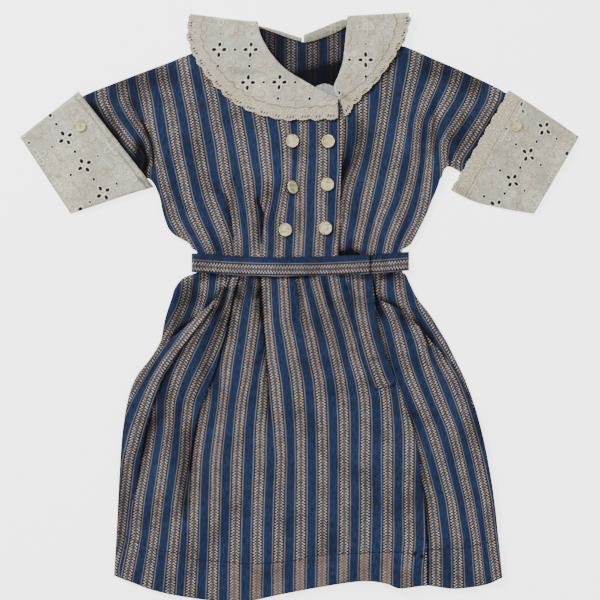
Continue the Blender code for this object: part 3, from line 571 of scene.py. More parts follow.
# %% [markdown]
# Where do the stripes run? Each row of these tables is one stripe, and its numbers are where the middle
# of that stripe lies at each height of the panel. HID means that a fold hides it there. Between two
# stripes the pattern stretches evenly, but where they lie closer than one repeat, the rest of the cloth
# is in a pleat: the pattern stays at its own size on both sides and breaks off halfway.

# %% Stripe tables
HID = float("nan")
BODICE_HEIGHTS = (309, 266, 245, 223, 201, 180, 158, 137, 115, 93, 72, 55)
BODICE_LEFT_STRIPES = [
    # stripe, its middle at each of the bodice's heights
    (-4, HID, HID, HID, -258, -252, -241, -226, -210, HID, HID, HID, HID),
    (-3, HID, HID, -237, -240, -228, -213, -195, -178, HID, HID, HID, HID),
    (-2, HID, HID, -214, -212, -201, -185, -164, HID, HID, HID, HID, HID),
    (-1, -193, -193, -192, -189, -177, -162, HID, HID, HID, HID, HID, HID),
    (0, -171, -171, -170, -165, -162, -158, -152, -147, -140, -134, -122, -113),
    (1, -152, -150, -147, -141, -137, -134, -130, -125, -121, -113, -102, -94),
    (2, -129, -126, -122, -118, -113, -110, -106, -102, -96, -87, -79, -76),
    (3, -104, -102, -98, -93, -90, -85, -82, -79, -72, -69, -66, -66),
    (4, -79, -77, -75, -71, -67, -63, -59, -55, -53, -50, -49, -48),
    (5, -55, -53, -50, -45, -42, -38, -36, -33, -34, -39, -39, -40),
    (6, -29, -27, -24, -19, -16, -13, -12, -12, -17, -21, -21, -22),
    (7, 1, 1, 2, 3, 4, 4, 3, 1, 1, 1, 0, -1),
    (8, 25, 25, 25, 25, 25, 25, 26, 25, 24, 24, 22, 21),
    (9, 49, 49, 49, 49, 49, 49, 49, 48, 46, 45, 43, 41)]
BODICE_RIGHT_STRIPES = [
    (-2, 29, 25, 23, 21, 23, 23, 21, 10, 3, 1, -1, -2),
    (-1, 52, 48, 45, 43, 45, 45, 43, 32, 26, 24, 22, 21),
    (0, 75, 70, 68, 69, 69, 68, 63, 55, 50, 48, 44, 44),
    (1, 102, 98, 96, 94, 90, 86, 82, 78, 73, 69, 64, 62),
    (2, 130, 127, 122, 117, 113, 110, 105, 100, 95, 86, 80, 77),
    (3, 153, 151, 146, 136, 129, 127, 126, 122, 116, 106, 98, 95),
    (4, 176, 174, 170, 160, 145, 143, 141, 138, 135, 130, 117, 110),
    (5, 200, 198, 193, 186, 173, 156, HID, HID, HID, HID, HID, HID),
    (6, HID, HID, 214, 210, 197, 184, 168, HID, HID, HID, HID, HID),
    (7, HID, HID, 237, 237, 225, 210, 197, 184, HID, HID, HID, HID),
    (8, HID, HID, HID, 261, 249, 234, 220, 206, HID, HID, HID, HID)]
SKIRT_HEIGHTS = (33, 7, -15, -36, -58, -79, -101, -133, -166, -209, -252, -285, -317)
SKIRT_LEFT_STRIPES = [
    # stripe, its middle at each of the skirt's heights
    (-10, -94, -114, -132, -146, -160, -172, -186, -202, HID, HID, HID, HID, HID),
    (-9, -72, -92, -110, -126, -143, -156, -165, -175, -184, -189, -194, -202, HID),
    (-8, HID, HID, HID, HID, HID, HID, HID, -160, -165, -173, -177, -184, -190),
    (-7, -79, -89, -100, -113, -124, -133, -139, -140, -146, -152, -157, -162, -167),
    (-6, -68, -74, -82, -89, -98, -109, -119, -123, -124, -131, -135, -138, -140),
    (-5, HID, HID, HID, HID, HID, HID, -100, -106, -111, -113, -114, -116, -118),
    (-4, -59, -65, -70, -73, -78, -80, -82, -86, -90, -91, -92, -93, -94),
    (-3, -43, -46, -48, -51, -54, -57, -62, -65, -67, -68, -69, -70, -70),
    (-2, HID, HID, HID, HID, HID, -38, -39, -42, -42, -44, -45, -45, -46),
    (-1, -36, -35, -34, -32, -30, -26, -24, -21, -19, -21, -22, -23, -23),
    (0, -18, -16, -15, -10, -6, -2, 0, 2, 2, 2, 2, 1, 1),
    (1, -1, 4, 8, 13, 17, 22, 24, 25, 26, 26, 25, 25, 24),
    (2, 16, 23, 30, 36, 41, 45, 48, 49, 49, 49, 49, 48, 48),
    (3, 37, 42, 49, 55, 60, 67, 71, 72, 71, 72, 71, 70, 70),
    (4, 55, 63, 71, 78, 84, 91, 95, 96, 96, 96, 96, 95, 95),
    (5, 78, 85, 94, 100, 106, 110, 113, 119, 119, 118, 119, 116, 116)]
SKIRT_RIGHT_STRIPES = [
    (6, 68, 72, 83, 89, 94, 100, 108, 121, 132, 143, 148, 148, 148),
    (7, 86, 92, 103, 108, 113, 120, 130, 143, 153, 165, 171, 172, 172),
    (8, 105, 110, 121, 132, 137, 144, 152, 166, 174, 184, 192, 195, 199),
    (9, 123, 129, 135, 144, 152, 165, 174, 184, 193, 202, 207, 212, 217)]
print("stripes named", len(BODICE_LEFT_STRIPES) + len(BODICE_RIGHT_STRIPES), "on the bodice and",
      len(SKIRT_LEFT_STRIPES) + len(SKIRT_RIGHT_STRIPES), "on the skirt")


# %% Pleat edges
# Each pleat lies between two neighbouring stripes: the left one's number, the side that lies on top
# (-1 left, 1 right), how dark its shadow is, and its edge as height and x, from the top down.
BODICE_LEFT_PLEATS = [
    (2, 1, 0.8, [(122, -80), (114, -76.5), (105, -75), (91, -72.5), (77, -70.7), (55, -69.7)]),
    (4, 1, 1.0, [(112, -43), (106, -40), (100, -38), (85, -39), (57, -41.6)])]
SKIRT_LEFT_PLEATS = [
    (-9, -1, 0.8, [(0, -92), (-15, -102), (-30, -114), (-45, -126), (-60, -136), (-79, -148),
                   (-101, -156), (-133, -165), (-166, -171), (-185, -174), (-209, -179)]),
    (-6, -1, 0.9, [(32, -65), (11, -71), (-15, -76), (-32, -79.4), (-58, -87), (-77, -92.9), (-101, -103),
                   (-114, -108), (-150, -115.6), (-200, -121)]),
    (-2, 1, 1.0, [(32, -41.8), (7, -40), (-20, -37.8), (-46, -35.5), (-65, -34.4), (-89, -32.8),
                  (-115, -31.5), (-140, -31)]),
    (0, -1, 0.7, [(32, -4), (14, -0.5), (-12, 2.6), (-30, 5)])]
print("pleat edges", len(BODICE_LEFT_PLEATS) + len(SKIRT_LEFT_PLEATS))


# %% Follow the stripes
class Stripes:
    """The stripes of one panel: where each lies at any height, and the pattern between them."""

    LEVELS = np.linspace(-330.0, 320.0, 651)     # heights a millimetre apart, over the whole dress
    SOFTEN = 12              # levels on each side that a bend of a stripe is spread over
    FAR = 1e9
    HIDDEN_FADE = 60.0       # a hidden stripe is back at its full distance after so much
    BREAKS_OFF = 0.47        # share of a repeat that has to be hidden for the pattern to break off
    PLEAT_HIGH = 1.5         # the upper layer rises by this at a pleat's edge, and the lower one sinks
    UPPER_WIDE, LOWER_WIDE = 7.0, 4.5        # how far from the edge each of them does so
    SHADE_WIDE = 3.8         # how far the shade of the upper layer reaches over the lower one
    UPPER_SHADE = 0.7        # how dark the upper layer's own edge is beside that shade
    STARTS_ABOVE, START_FADE, END_FADE = 14.0, 12.0, 30.0    # how a pleat comes and goes
    TUCK_FROM, TUCK_FADE = 0.35, 0.3     # share of a repeat that is hidden where a tuck begins
    TUCK_DEEP, TUCK_WIDE = 1.6, 1.6
    BESIDE_AT, BESIDE_WIDE, BESIDE_HIGH = 4.0, 3.0, 0.5      # the ridges at both sides of a tuck
    TUCK_SHADE, TUCK_SHADE_WIDE = 0.8, 1.7
    LEAST = 1.0              # the least width that is hidden in a pleat or that is divided by

    def __init__(self, table, heights, pleats=()):
        self.number = np.array([row[0] for row in table], dtype=float)
        self.pleat_rows = {int(np.argmax(self.number == left)): (side, dark, edge)
                           for left, side, dark, edge in pleats}
        order = np.argsort(heights)
        known = np.array(heights, dtype=float)[order]
        self.x = np.empty((len(table), len(self.LEVELS)))
        seen_from = []
        for k, row in enumerate(table):
            places = np.array(row[1:], dtype=float)[order]
            seen = ~np.isnan(places)
            self.x[k] = np.interp(self.LEVELS, known[seen], places[seen])
            seen_from.append((-self.FAR if seen[0] else known[seen][0],
                              self.FAR if seen[-1] else known[seen][-1]))
        self.follow_hidden(seen_from)
        blur = np.hanning(2 * self.SOFTEN + 1) / self.SOFTEN
        self.x = np.array([np.convolve(np.pad(line, self.SOFTEN, mode="edge"), blur, mode="valid")
                           for line in self.x])
        self.lean = np.hypot(1.0, np.gradient(self.x, axis=1))
        self.run = np.cumsum(self.lean, axis=1)
        self.set_edges()

    def follow_hidden(self, seen_from):
        """Where a stripe is hidden, it keeps beside the neighbour that it is still joined to."""
        middle = len(self.x) / 2
        rows = sorted(range(len(self.x)), key=lambda k: abs(k - middle))
        for k in rows:
            if k in self.pleat_rows:
                beside = k - 1
            elif k - 1 in self.pleat_rows:
                beside = k + 1
            else:
                beside = k + 1 if k < middle else k - 1
            if not 0 <= beside < len(self.x):
                continue
            low, high = seen_from[k]
            for hidden, end in ((self.LEVELS < low, low), (self.LEVELS > high, high)):
                if not hidden.any():
                    continue
                at_end = int(np.clip(round(end - self.LEVELS[0]), 0, len(self.LEVELS) - 1))
                gap = self.x[k, at_end] - self.x[beside, at_end]
                share = soft_step(np.abs(self.LEVELS[hidden] - end) / self.HIDDEN_FADE)
                full = math.copysign(STRIPE, k - beside)
                self.x[k, hidden] = self.x[beside, hidden] + gap * (1 - share) + full * share

    def set_edges(self):
        """The place between each two stripes at which the pattern passes from one to the other."""
        self.edge = (self.x[1:] + self.x[:-1]) / 2
        self.hidden = STRIPE * (self.lean[1:] + self.lean[:-1]) / 2 - np.diff(self.x, axis=0)
        for k, (side, dark, line) in self.pleat_rows.items():
            line = np.array(line)[::-1]
            inside = (self.LEVELS >= line[0, 0]) & (self.LEVELS <= line[-1, 0])
            self.edge[k, inside] = np.interp(self.LEVELS[inside], line[:, 0], line[:, 1])
            for lower in range(k - 1, -1, -1):
                self.edge[lower] = np.minimum(self.edge[lower], self.edge[lower + 1])
            for upper in range(k + 1, len(self.edge)):
                self.edge[upper] = np.maximum(self.edge[upper], self.edge[upper - 1])

    def read(self, table, stripe, y):
        """A row of one of the tables at each height y."""
        place = np.clip(y - self.LEVELS[0], 0, len(self.LEVELS) - 1.001)
        low = place.astype(int)
        share = place - low
        return table[stripe, low] * (1 - share) + table[stripe, low + 1] * share

    def home(self, x, y):
        """The stripe that each place belongs to."""
        level = np.rint(y - self.LEVELS[0]).astype(int).clip(0, len(self.LEVELS) - 1)
        return (self.edge[:, level] <= x).sum(axis=0)

    def corner_map(self, points, corners):
        """The pattern's place, across and along, at each corner of each face of a grid."""
        x, y = points[corners][..., 0], points[corners][..., 1]
        middle_x, middle_y = (np.repeat(place.mean(axis=1), 4) for place in (x, y))
        values = self.pattern(x.ravel(), y.ravel(), middle_x, middle_y)
        return np.stack([value.reshape(x.shape) for value in values], axis=-1)

    def pattern(self, x, y, middle_x, middle_y):
        """The pattern's place, across and along, at each corner of faces with the given middles."""
        own = self.home(middle_x, middle_y)
        own_x, own_lean = self.read(self.x, own, y), self.read(self.lean, own, y)
        side = np.where(middle_x >= self.read(self.x, own, middle_y), 1, -1)
        other = np.clip(own + side, 0, len(self.number) - 1)
        other_x = self.read(self.x, other, y)
        gap = np.abs(other_x - own_x)
        repeat = STRIPE * (own_lean + self.read(self.lean, other, y)) / 2
        pair = np.minimum(own, other).clip(0, len(self.edge) - 1)
        pleated = np.isin(pair, list(self.pleat_rows)) & (repeat - gap > self.LEAST)
        apart = (other == own) | pleated | (repeat - gap > self.BREAKS_OFF * repeat)
        joined = np.maximum(gap, self.LEAST)
        scale = np.where(apart, np.maximum(repeat, self.LEAST), joined)
        across = self.number[own] + (x - own_x) / scale
        share = np.clip(np.abs(x - own_x) / joined, 0.0, 1.0)
        share = np.where(apart, 0.0, share)
        along = self.read(self.run, own, y) * (1 - share) + self.read(self.run, other, y) * share
        return across, along

    def pleats(self, x, y):
        """Height and darkness at each place beside the pleats' edges, and in the smaller tucks."""
        height, dark = np.zeros(x.shape), np.zeros(x.shape)
        for k, (side, deep, line) in self.pleat_rows.items():
            top, bottom = line[0][0], line[-1][0]
            fade = soft_step((y - bottom) / self.END_FADE)
            fade = fade * soft_step((top + self.STARTS_ABOVE - y) / self.START_FADE)
            off = (x - self.read(self.edge, k, y)) * side
            upper = np.where(off > 0, np.exp(-off / self.UPPER_WIDE), 0.0)
            lower = np.where(off <= 0, np.exp(off / self.LOWER_WIDE), 0.0)
            height += fade * deep * self.PLEAT_HIGH * (upper - lower)
            shade = np.where(off <= 0, np.exp(off / self.SHADE_WIDE), self.UPPER_SHADE * np.exp(-off))
            dark += fade * deep * shade
        for k in sorted(set(range(len(self.edge))) - set(self.pleat_rows)):
            hidden = self.read(self.hidden, k, y) / STRIPE
            much = soft_step((hidden - self.TUCK_FROM) / self.TUCK_FADE)
            off = x - self.read(self.edge, k, y)
            beside = bump_at(np.abs(off) - self.BESIDE_AT, self.BESIDE_WIDE)
            tuck = bump_at(off, self.TUCK_WIDE)
            height += much * (self.BESIDE_HIGH * beside - self.TUCK_DEEP * tuck)
            dark += much * self.TUCK_SHADE * bump_at(off, self.TUCK_SHADE_WIDE)
        return height, dark


stripes = {"bodice_front_left": Stripes(BODICE_LEFT_STRIPES, BODICE_HEIGHTS, BODICE_LEFT_PLEATS),
           "bodice_front_right": Stripes(BODICE_RIGHT_STRIPES, BODICE_HEIGHTS),
           "skirt_front_left": Stripes(SKIRT_LEFT_STRIPES, SKIRT_HEIGHTS, SKIRT_LEFT_PLEATS),
           "skirt_front_right": Stripes(SKIRT_RIGHT_STRIPES, SKIRT_HEIGHTS)}
print("stripes follow", len(stripes), "panels")

# %% [markdown]
# The large folds are in the solids. The small ones are listed here: each row is a soft trough or
# ridge through three places, with its height and its width, and no two are alike. The neck, shoulders
# and waist have the most of them, because that is where flat cloth meets a rounded body.

# %% Creases
BODICE_CREASES = [
    # start x, start y, middle x, middle y, end x, end y, height, width
    (-184, 232, -172, 200, -160, 176, -1.6, 4.0),
    (-196, 210, -180, 176, -166, 146, 1.4, 5.0),
    (-210, 226, -198, 190, -186, 160, -1.2, 5.0),
    (-152, 196, -142, 160, -134, 120, 1.0, 6.0),
    (-138, 150, -128, 118, -116, 90, -0.9, 5.0),
    (-112, 208, -106, 150, -96, 96, 0.7, 7.0),
    (-70, 170, -66, 120, -64, 80, 0.6, 6.0),
    (-44, 150, -44, 110, -46, 70, -0.8, 4.0),
    (-98, 92, -92, 72, -88, 52, -1.0, 3.0),
    (-18, 96, -20, 76, -24, 52, -0.9, 3.0),
    (6, 84, 8, 68, 8, 50, 0.6, 4.0),
    (14, 70, 15, 60, 14, 48, -0.7, 2.4),
    (30, 76, 28, 64, 28, 50, 0.5, 4.0),
    (60, 150, 62, 120, 60, 90, 0.8, 5.0),
    (84, 120, 80, 92, 76, 60, -0.8, 3.4),
    (104, 118, 100, 86, 94, 54, 0.9, 4.0),
    (122, 110, 114, 84, 104, 60, -0.8, 4.0),
    (148, 232, 146, 190, 146, 150, -1.8, 3.6),
    (160, 222, 158, 186, 158, 160, 1.3, 5.0),
    (182, 216, 176, 184, 172, 158, -1.2, 4.5),
    (204, 214, 194, 180, 186, 152, 1.0, 6.0),
    (112, 200, 108, 150, 104, 110, 0.8, 7.0),
    (86, 210, 86, 170, 82, 130, -0.6, 6.0)]
SKIRT_CREASES = [
    (-78, 30, -82, 4, -98, -20, -1.6, 3.0),
    (-66, 36, -70, 10, -76, -20, 1.1, 4.0),
    (-56, 38, -60, 12, -64, -24, -0.8, 3.4),
    (-48, 36, -50, 0, -54, -50, 0.9, 4.0),
    (-30, 38, -28, 4, -24, -40, 0.8, 4.0),
    (-10, 36, -8, 8, -2, -26, -1.0, 3.0),
    (6, 36, 10, 16, 18, -10, 0.8, 3.4),
    (26, 36, 32, 12, 40, -20, -1.0, 3.2),
    (44, 34, 48, 10, 52, -16, 0.7, 4.0),
    (88, 24, 96, 6, 106, -16, 1.0, 4.0),
    (100, 10, 112, -14, 128, -44, -1.2, 4.0),
    (112, -8, 132, -40, 152, -86, 0.9, 6.0),
    (-120, -40, -130, -90, -138, -150, 1.0, 6.0),
    (-136, -60, -150, -110, -160, -170, -1.1, 5.0),
    (-104, -60, -110, -110, -116, -170, 0.7, 6.0),
    (-150, -180, -158, -220, -162, -270, 0.7, 9.0),
    (-60, -120, -66, -180, -68, -250, 0.6, 10.0),
    (40, -90, 46, -160, 48, -230, 0.5, 12.0),
    (150, -120, 166, -170, 176, -230, 0.8, 8.0),
    (124, -150, 134, -200, 140, -260, -0.7, 6.0),
    (-196, -200, -150, -214, -108, -210, 0.4, 7.0),
    (20, -262, 60, -258, 104, -262, 0.4, 6.0)]


CREASE_ENDS = (0.3, 0.35)        # shares of its length over which a crease fades in and out
SHADOW_ENDS = (0.25, 0.25)


def soft_rows(table, x, y, ends):
    """What the rows of a table add up to at each place, each row fading out at both of its ends."""
    total = np.zeros(np.shape(x))
    for x0, y0, x1, y1, x2, y2, most, wide in table:
        path = smooth_rows([(x0, y0), (x1, y1), (x2, y2)], 9)
        gap, along = path_distance(path, x, y)
        fade = soft_step(along / ends[0]) * soft_step((1.0 - along) / ends[1])
        total += most * fade * bump_at(gap, wide)
    return total


def rumple(x, y, height):
    """A slight unevenness all over, from a few crossed waves."""
    waves = (np.sin(x / 23.0 + y / 61.0 + 0.6) * np.sin(y / 37.0 - x / 90.0)
             + 0.5 * np.sin(x / 11.0 - y / 29.0 + 1.9) * np.sin(y / 17.0 + 0.4)
             + 0.3 * np.sin(x / 6.0 + y / 13.0) * np.sin(y / 9.0 - x / 21.0 + 2.1))
    return height * waves


print("creases laid by hand", len(BODICE_CREASES) + len(SKIRT_CREASES))

# %% [markdown]
# In a deep fold the light is lost between the threads. That much shadow is painted on the cloth:
# each row is a soft patch through three places. A button's rim shades the cloth round it too.

# %% Shadows in deep places
PANEL_SHADOWS = {
    # start x, start y, middle x, middle y, end x, end y, darkness, width
    "bodice_front_left": [
        (-168, 196, -164, 172, -160, 146, 0.4, 7.0),
        (-226, 228, -192, 180, -162, 138, 0.35, 7.0),
        (-172, 150, -168, 140, -163, 132, 0.6, 7.0),
        (-108, 216, -112, 160, -102, 110, 0.25, 10.0),
        (-214, 226, -170, 246, -116, 250, 0.55, 15.0),
        (-70, 150, -72, 118, -66, 84, 0.4, 5.0),
        (2, 106, 0, 92, -2, 76, 0.4, 5.0),
        (-236, 238, -206, 189, -164, 130, 0.9, 4.5),
        (-122, 302, -98, 254, -58, 225, 0.6, 3.4),
        (-74, 234, -32, 211, 16, 203, 0.6, 3.4),
        (-6, 204, 20, 202, 48, 203, 0.6, 3.0),
        (-174, 186, -172, 160, -166, 134, 0.75, 6.0),
        (-34, 140, -33, 120, -36, 104, 0.5, 4.0),
        (-110, 58, -80, 51, -50, 50, 0.45, 3.0),
        (-50, 50, -10, 50, 36, 50, 0.45, 3.0)],
    "bodice_front_right": [
        (52, 186, 52, 160, 48, 128, 0.5, 4.0),
        (226, 230, 204, 190, 180, 148, 0.8, 4.5),
        (66, 214, 64, 180, 56, 136, 0.6, 6.5),
        (120, 264, 170, 250, 214, 234, 0.5, 14.0),
        (228, 232, 193, 169, 172, 125, 0.9, 3.4),
        (120, 298, 104, 266, 78, 236, 0.6, 3.4),
        (86, 242, 64, 224, 48, 208, 0.6, 3.4),
        (50, 168, 46, 140, 44, 110, 0.45, 5.0),
        (40, 96, 40, 76, 42, 54, 0.5, 3.0),
        (38, 60, 52, 56, 72, 57, 1.0, 6.0),
        (58, 76, 56, 66, 56, 56, 0.5, 4.0),
        (76, 54, 92, 53, 110, 54, 0.4, 3.0),
        (166, 190, 162, 170, 160, 150, 0.35, 6.0),
        (168, 176, 174, 160, 178, 148, 0.2, 7.0)],
    "skirt_front_left": [
        (-76, 28, -30, 33, 30, 32, 0.6, 3.0),
        (-74, 20, -87, -24, -110, -84, 0.5, 8.0),
        (-150, -52, -166, -72, -180, -96, 0.4, 6.0),
        (-134, -84, -142, -106, -146, -128, 0.4, 5.0),
        (-114, -110, -124, -170, -124, -240, 0.6, 7.0),
        (-189, -150, -191, -215, -196, -285, 0.5, 8.0),
        (-150, -110, -164, -138, -170, -170, 0.4, 6.0),
        (-44, 26, -42, 4, -40, -20, 0.4, 6.0),
        (14, 26, 20, 0, 26, -44, 0.3, 7.0),
        (60, 4, 69, -34, 80, -70, 0.5, 6.0),
        (46, 26, 58, 18, 74, 18, 0.6, 6.0),
        (4, -56, 26, -60, 56, -62, 0.25, 8.0),
        # the next two rows are the cloth's own marks by the hem, a small tear and a worn spot, not shade
        (123, -266, 125, -267, 127, -267.5, 1.4, 1.8),
        (130, -268, 133, -270, 135, -272, 1.2, 2.0),
        (-70, 24, -66, 14, -62, 4, 0.5, 5.0),
        (-96, -56, -106, -84, -118, -112, 0.3, 6.0),
        (-58, 30, -52, 18, -48, 6, 0.4, 4.0),
        (-126, -96, -138, -130, -144, -170, 0.3, 6.0),
        (24, 30, 30, 14, 36, -4, 0.35, 3.0),
        (-92, 4, -84, 14, -78, 24, 0.5, 4.0)],
    "skirt_front_right": [
        (80, 30, 84, 8, 92, -20, 0.8, 5.0),
        (92, -20, 104, -60, 116, -100, 0.15, 5.0),
        (112, -92, 122, -130, 134, -190, 0.5, 5.0),
        (134, -190, 138, -240, 139, -300, 0.45, 4.0),
        (106, -6, 118, -14, 128, -22, 0.4, 4.0),
        (128, -24, 146, -44, 160, -70, 0.3, 5.0)]}
BUTTON_PLACES = [
    # node, x, y, lean, turn, across
    ("button_upper_left", -7.1, 178.7, 0, 20, 14.0),
    ("button_upper_right", 31.5, 178.4, 0, 65, 14.0),
    ("button_middle_left", -7.6, 128.4, 50, 14, 14.0),
    ("button_middle_right", 30.6, 131.7, 0, 80, 14.0),
    ("button_lower_left", -14.7, 82.7, 0, 40, 14.0),
    ("button_lower_right", 28.5, 84.5, 0, 10, 14.0),
    ("cuff_button_left", -236.8, 195.4, 0, 55, 13.0),
    ("cuff_button_right", 234.0, 195.7, 0, 30, 13.0)]
FRONT_BUTTONS = [row[1:3] for row in BUTTON_PLACES[:6]]
RING_RIGHT, RING_DOWN = 0.6, 0.8     # the light from above and the left shifts the ring so far
RING_DARK, RING_FROM, RING_FADE = 0.6, 6.8, 2.2


def button_shadow(x, y):
    """The narrow ring of shade that a button's overhanging rim leaves on the cloth."""
    gaps = [np.hypot(x - bx - RING_RIGHT, y - by + RING_DOWN) for bx, by in FRONT_BUTTONS]
    return RING_DARK * (1.0 - soft_step((np.min(gaps, axis=0) - RING_FROM) / RING_FADE))


print("shadows painted by hand", sum(len(rows) for rows in PANEL_SHADOWS.values()))

# %% [markdown]
# The bodice is cut in three panels with the sleeves in one with them. A row of each table is a rib of
# the panel, from its top edge at the neck, shoulder or sleeve down to its bottom edge.

# %% Bodice panels
WAIST_SEAM = 45.5
BODICE_END = WAIST_SEAM + 1.0
BODICE_LEFT_RIBS = [
    # top x, top y, bottom x, bottom y
    (-257, 207, -192, 130),
    (-236, 226, -176, 136),
    (-206, 239, -162, 138),
    (-174, 251.5, -152, 122),
    (-142, 263.5, -141, 84),
    (-114, 274.5, -120, 69),
    (-106, 277.5, -116, 63),
    (-98, 280.5, -110, 58.5),
    (-88, 284, -109, BODICE_END),
    (-66, 292, -94, BODICE_END),
    (-48, 298, -74, BODICE_END),
    (-41.5, 285, -54, BODICE_END),
    (-32.5, 270, -36, BODICE_END),
    (-17, 253.5, -18, BODICE_END),
    (3, 241, 2, BODICE_END),
    (25, 228.5, 22, BODICE_END),
    (39, 222, 36, BODICE_END),
    (47.5, 201, 42, BODICE_END)]
BODICE_RIGHT_RIBS = [
    (-20, 216, -27, BODICE_END),
    (0, 222, -9, BODICE_END),
    (20, 225.2, 11, BODICE_END),
    (38, 225.5, 25, BODICE_END),
    (46, 236, 34, BODICE_END),
    (48.5, 250, 44, BODICE_END),
    (52, 268, 58, BODICE_END),
    (56, 297, 76, BODICE_END),
    (82, 290, 94, BODICE_END),
    (94, 286.5, 110, BODICE_END),
    (102, 284, 111.5, 60.5),
    (112, 281.5, 118, 65),
    (121, 278.5, 123, 71),
    (150, 266, 137, 98),
    (180, 253, 149, 128),
    (206, 240.5, 160, 151),
    (228, 228, 180, 142.5),
    (250, 210, 208, 131)]
BACK_NECK_RIBS = [
    (-66, 292, -88, BODICE_END),
    (-47, 300, -62, BODICE_END),
    (-31, 298.6, -38, BODICE_END),
    (-14, 291.8, -16, BODICE_END),
    (3, 286.2, 3, BODICE_END),
    (20, 293, 22, BODICE_END),
    (38, 302, 44, BODICE_END),
    (54, 302, 68, BODICE_END),
    (82, 291, 90, BODICE_END)]
BODICE_BACK_RIBS = BODICE_LEFT_RIBS[:9] + BACK_NECK_RIBS + BODICE_RIGHT_RIBS[9:]


HELD_FLAT, HELD_FADE = 8.0, 18.0     # the belt holds the cloth flat so far from the waist, then lets go
RUMPLE = 0.22
SHADE_PER_CREASE = 0.28


def rib_grid(ribs, count, steps):
    """A grid of places with the ribs as its columns, from the bottom edge up."""
    return grid_between(ribs, count, np.linspace(1.0, 0.0, steps)).transpose(1, 0, 2)


def front_panel(node, places, creases, passes, rise=0.0, more_maps=None):
    """A front of the bodice or the skirt, with its pleats, creases, stripes and shadows."""
    x, y = places[..., 0], places[..., 1]
    held = soft_step((np.abs(y - WAIST_SEAM) - HELD_FLAT) / HELD_FADE)
    pleat_height, pleat_dark = stripes[node].pleats(x, y)
    crease = soft_rows(creases, x, y, CREASE_ENDS)
    points = laid(places, node, held * (crease + pleat_height + rumple(x, y, RUMPLE)) + rise, passes)
    dark = pleat_dark + np.clip(-crease, 0.0, None) * SHADE_PER_CREASE
    dark += soft_rows(PANEL_SHADOWS[node], x, y, SHADOW_ENDS) + button_shadow(x, y)
    maps = {"cloth": stripes[node].corner_map, "shade": shade_grids(dark), **(more_maps or {})}
    lay_cloth(node, points, "striped_cotton", maps)


front_panel("bodice_front_left", rib_grid(BODICE_LEFT_RIBS, 250, 110), BODICE_CREASES, 6)
front_panel("bodice_front_right", rib_grid(BODICE_RIGHT_RIBS, 220, 110), BODICE_CREASES, 6)

# %% [markdown]
# The back is the plainest panel, and all that shows of it from above is the inside of the neck. Its
# stripes run straight down. The neck is deep in shade, and darkest where the fronts close over it.

# %% Back of the bodice
BACK_STRIPE_AT = -8.6    # x of the middle of one band
BACK_RUMPLE = 0.06
SHADE_AT_X, SHADE_AT_Y = 20.0, 268.0     # a place on the slanting line where the fronts' shade begins
SHADE_SLOPE, SHADE_FADE = 0.25, 14.0
LEFT_OF, LEFT_FADE = -6.0, 12.0          # the neck is darker to the left of this x
BACK_DARK, BELOW_DARK, LEFT_DARK = 0.5, 0.46, 0.25


def bodice_back():
    places = rib_grid(BODICE_BACK_RIBS, 200, 60)
    x, y = places[..., 0], places[..., 1]
    points = laid(places, "bodice_back", rumple(x, y, BACK_RUMPLE), passes=3)
    below_neck = soft_step((SHADE_AT_Y - y + SHADE_SLOPE * (x - SHADE_AT_X)) / SHADE_FADE)
    left_of_neck = soft_step((LEFT_OF - x) / LEFT_FADE)
    dark = BACK_DARK + BELOW_DARK * below_neck + LEFT_DARK * left_of_neck
    lay_cloth("bodice_back", points, "striped_cotton",
              {"cloth": ((x - BACK_STRIPE_AT) / STRIPE, y), "shade": shade_grids(dark)})


bodice_back()

# %% [markdown]
# The skirt's two fronts are cut in sections from the waist to the hem. Each row is one section, from its
# left end to its right end, and the lowest part follows the hem, which hangs a little unevenly.

# %% Skirt fronts
SKIRT_END = WAIST_SEAM - 1.0
SKIRT_LEFT_SECTIONS = [
    # left x, left y, right x, right y
    (-74, SKIRT_END, 79, SKIRT_END),
    (-77, 28, 79, 30),
    (-92, 7, 81, 12),
    (-112, -12, 84, -12),
    (-131, -29, 90, -38),
    (-150, -45, 99, -64),
    (-166, -64, 109, -90),
    (-181, -87, 119, -118),
    (-190, -130, 127, -150),
    (-194, -180, 133, -192),
    (-197, -238, 137, -242),
    (-200, -291, 138, -304)]
SKIRT_RIGHT_SECTIONS = [
    (30, SKIRT_END, 80, SKIRT_END),
    (32, 31, 82, 28),
    (36, 10, 86, 9),
    (42, -14, 106, -2),
    (50, -42, 123, -15),
    (60, -68, 138, -32),
    (70, -94, 153, -49),
    (80, -121, 172, -73),
    (88, -154, 190, -114),
    (93, -194, 205, -170),
    (98, -244, 214, -234),
    (99, -303, 220, -293)]
HEM_EDGE = [
    # x, y of the hem's edge
    (-200, -291), (-181, -298), (-160, -306), (-129, -313), (-75, -320), (-52, -318), (-18, -311),
    (19, -304), (57, -298), (77, -297), (95, -299.5), (109, -304.5), (136, -301.5), (159, -304.5),
    (173, -305), (201, -301), (220, -293)]
HEM_LINE = [
    # x, y of the stitching that holds the hem up
    (-200, -240), (-192, -245.7), (-155, -263), (-131, -266), (-112, -272.7), (-81, -276), (-50, -278),
    (1, -274), (9, -270), (54, -267), (102, -265), (120, -267), (138, -263), (170, -262), (199, -256),
    (220, -250)]
HEM_FOLLOWED_FROM = -120.0           # above this height the sections stay straight
HEM_STRAIGHT = 295.0
HEM_STEP, HEM_STEP_WIDE = 0.45, 3.0      # the turned-up cloth raises the skirt below the stitching
HEM_SUNK, HEM_SUNK_WIDE = 0.5, 1.3       # and the stitching itself sinks in


def height_on(line, x):
    """The height of a line of the hem at each place across the skirt."""
    smooth = smooth_rows(line, 90)
    return np.interp(x, smooth[:, 0], smooth[:, 1])


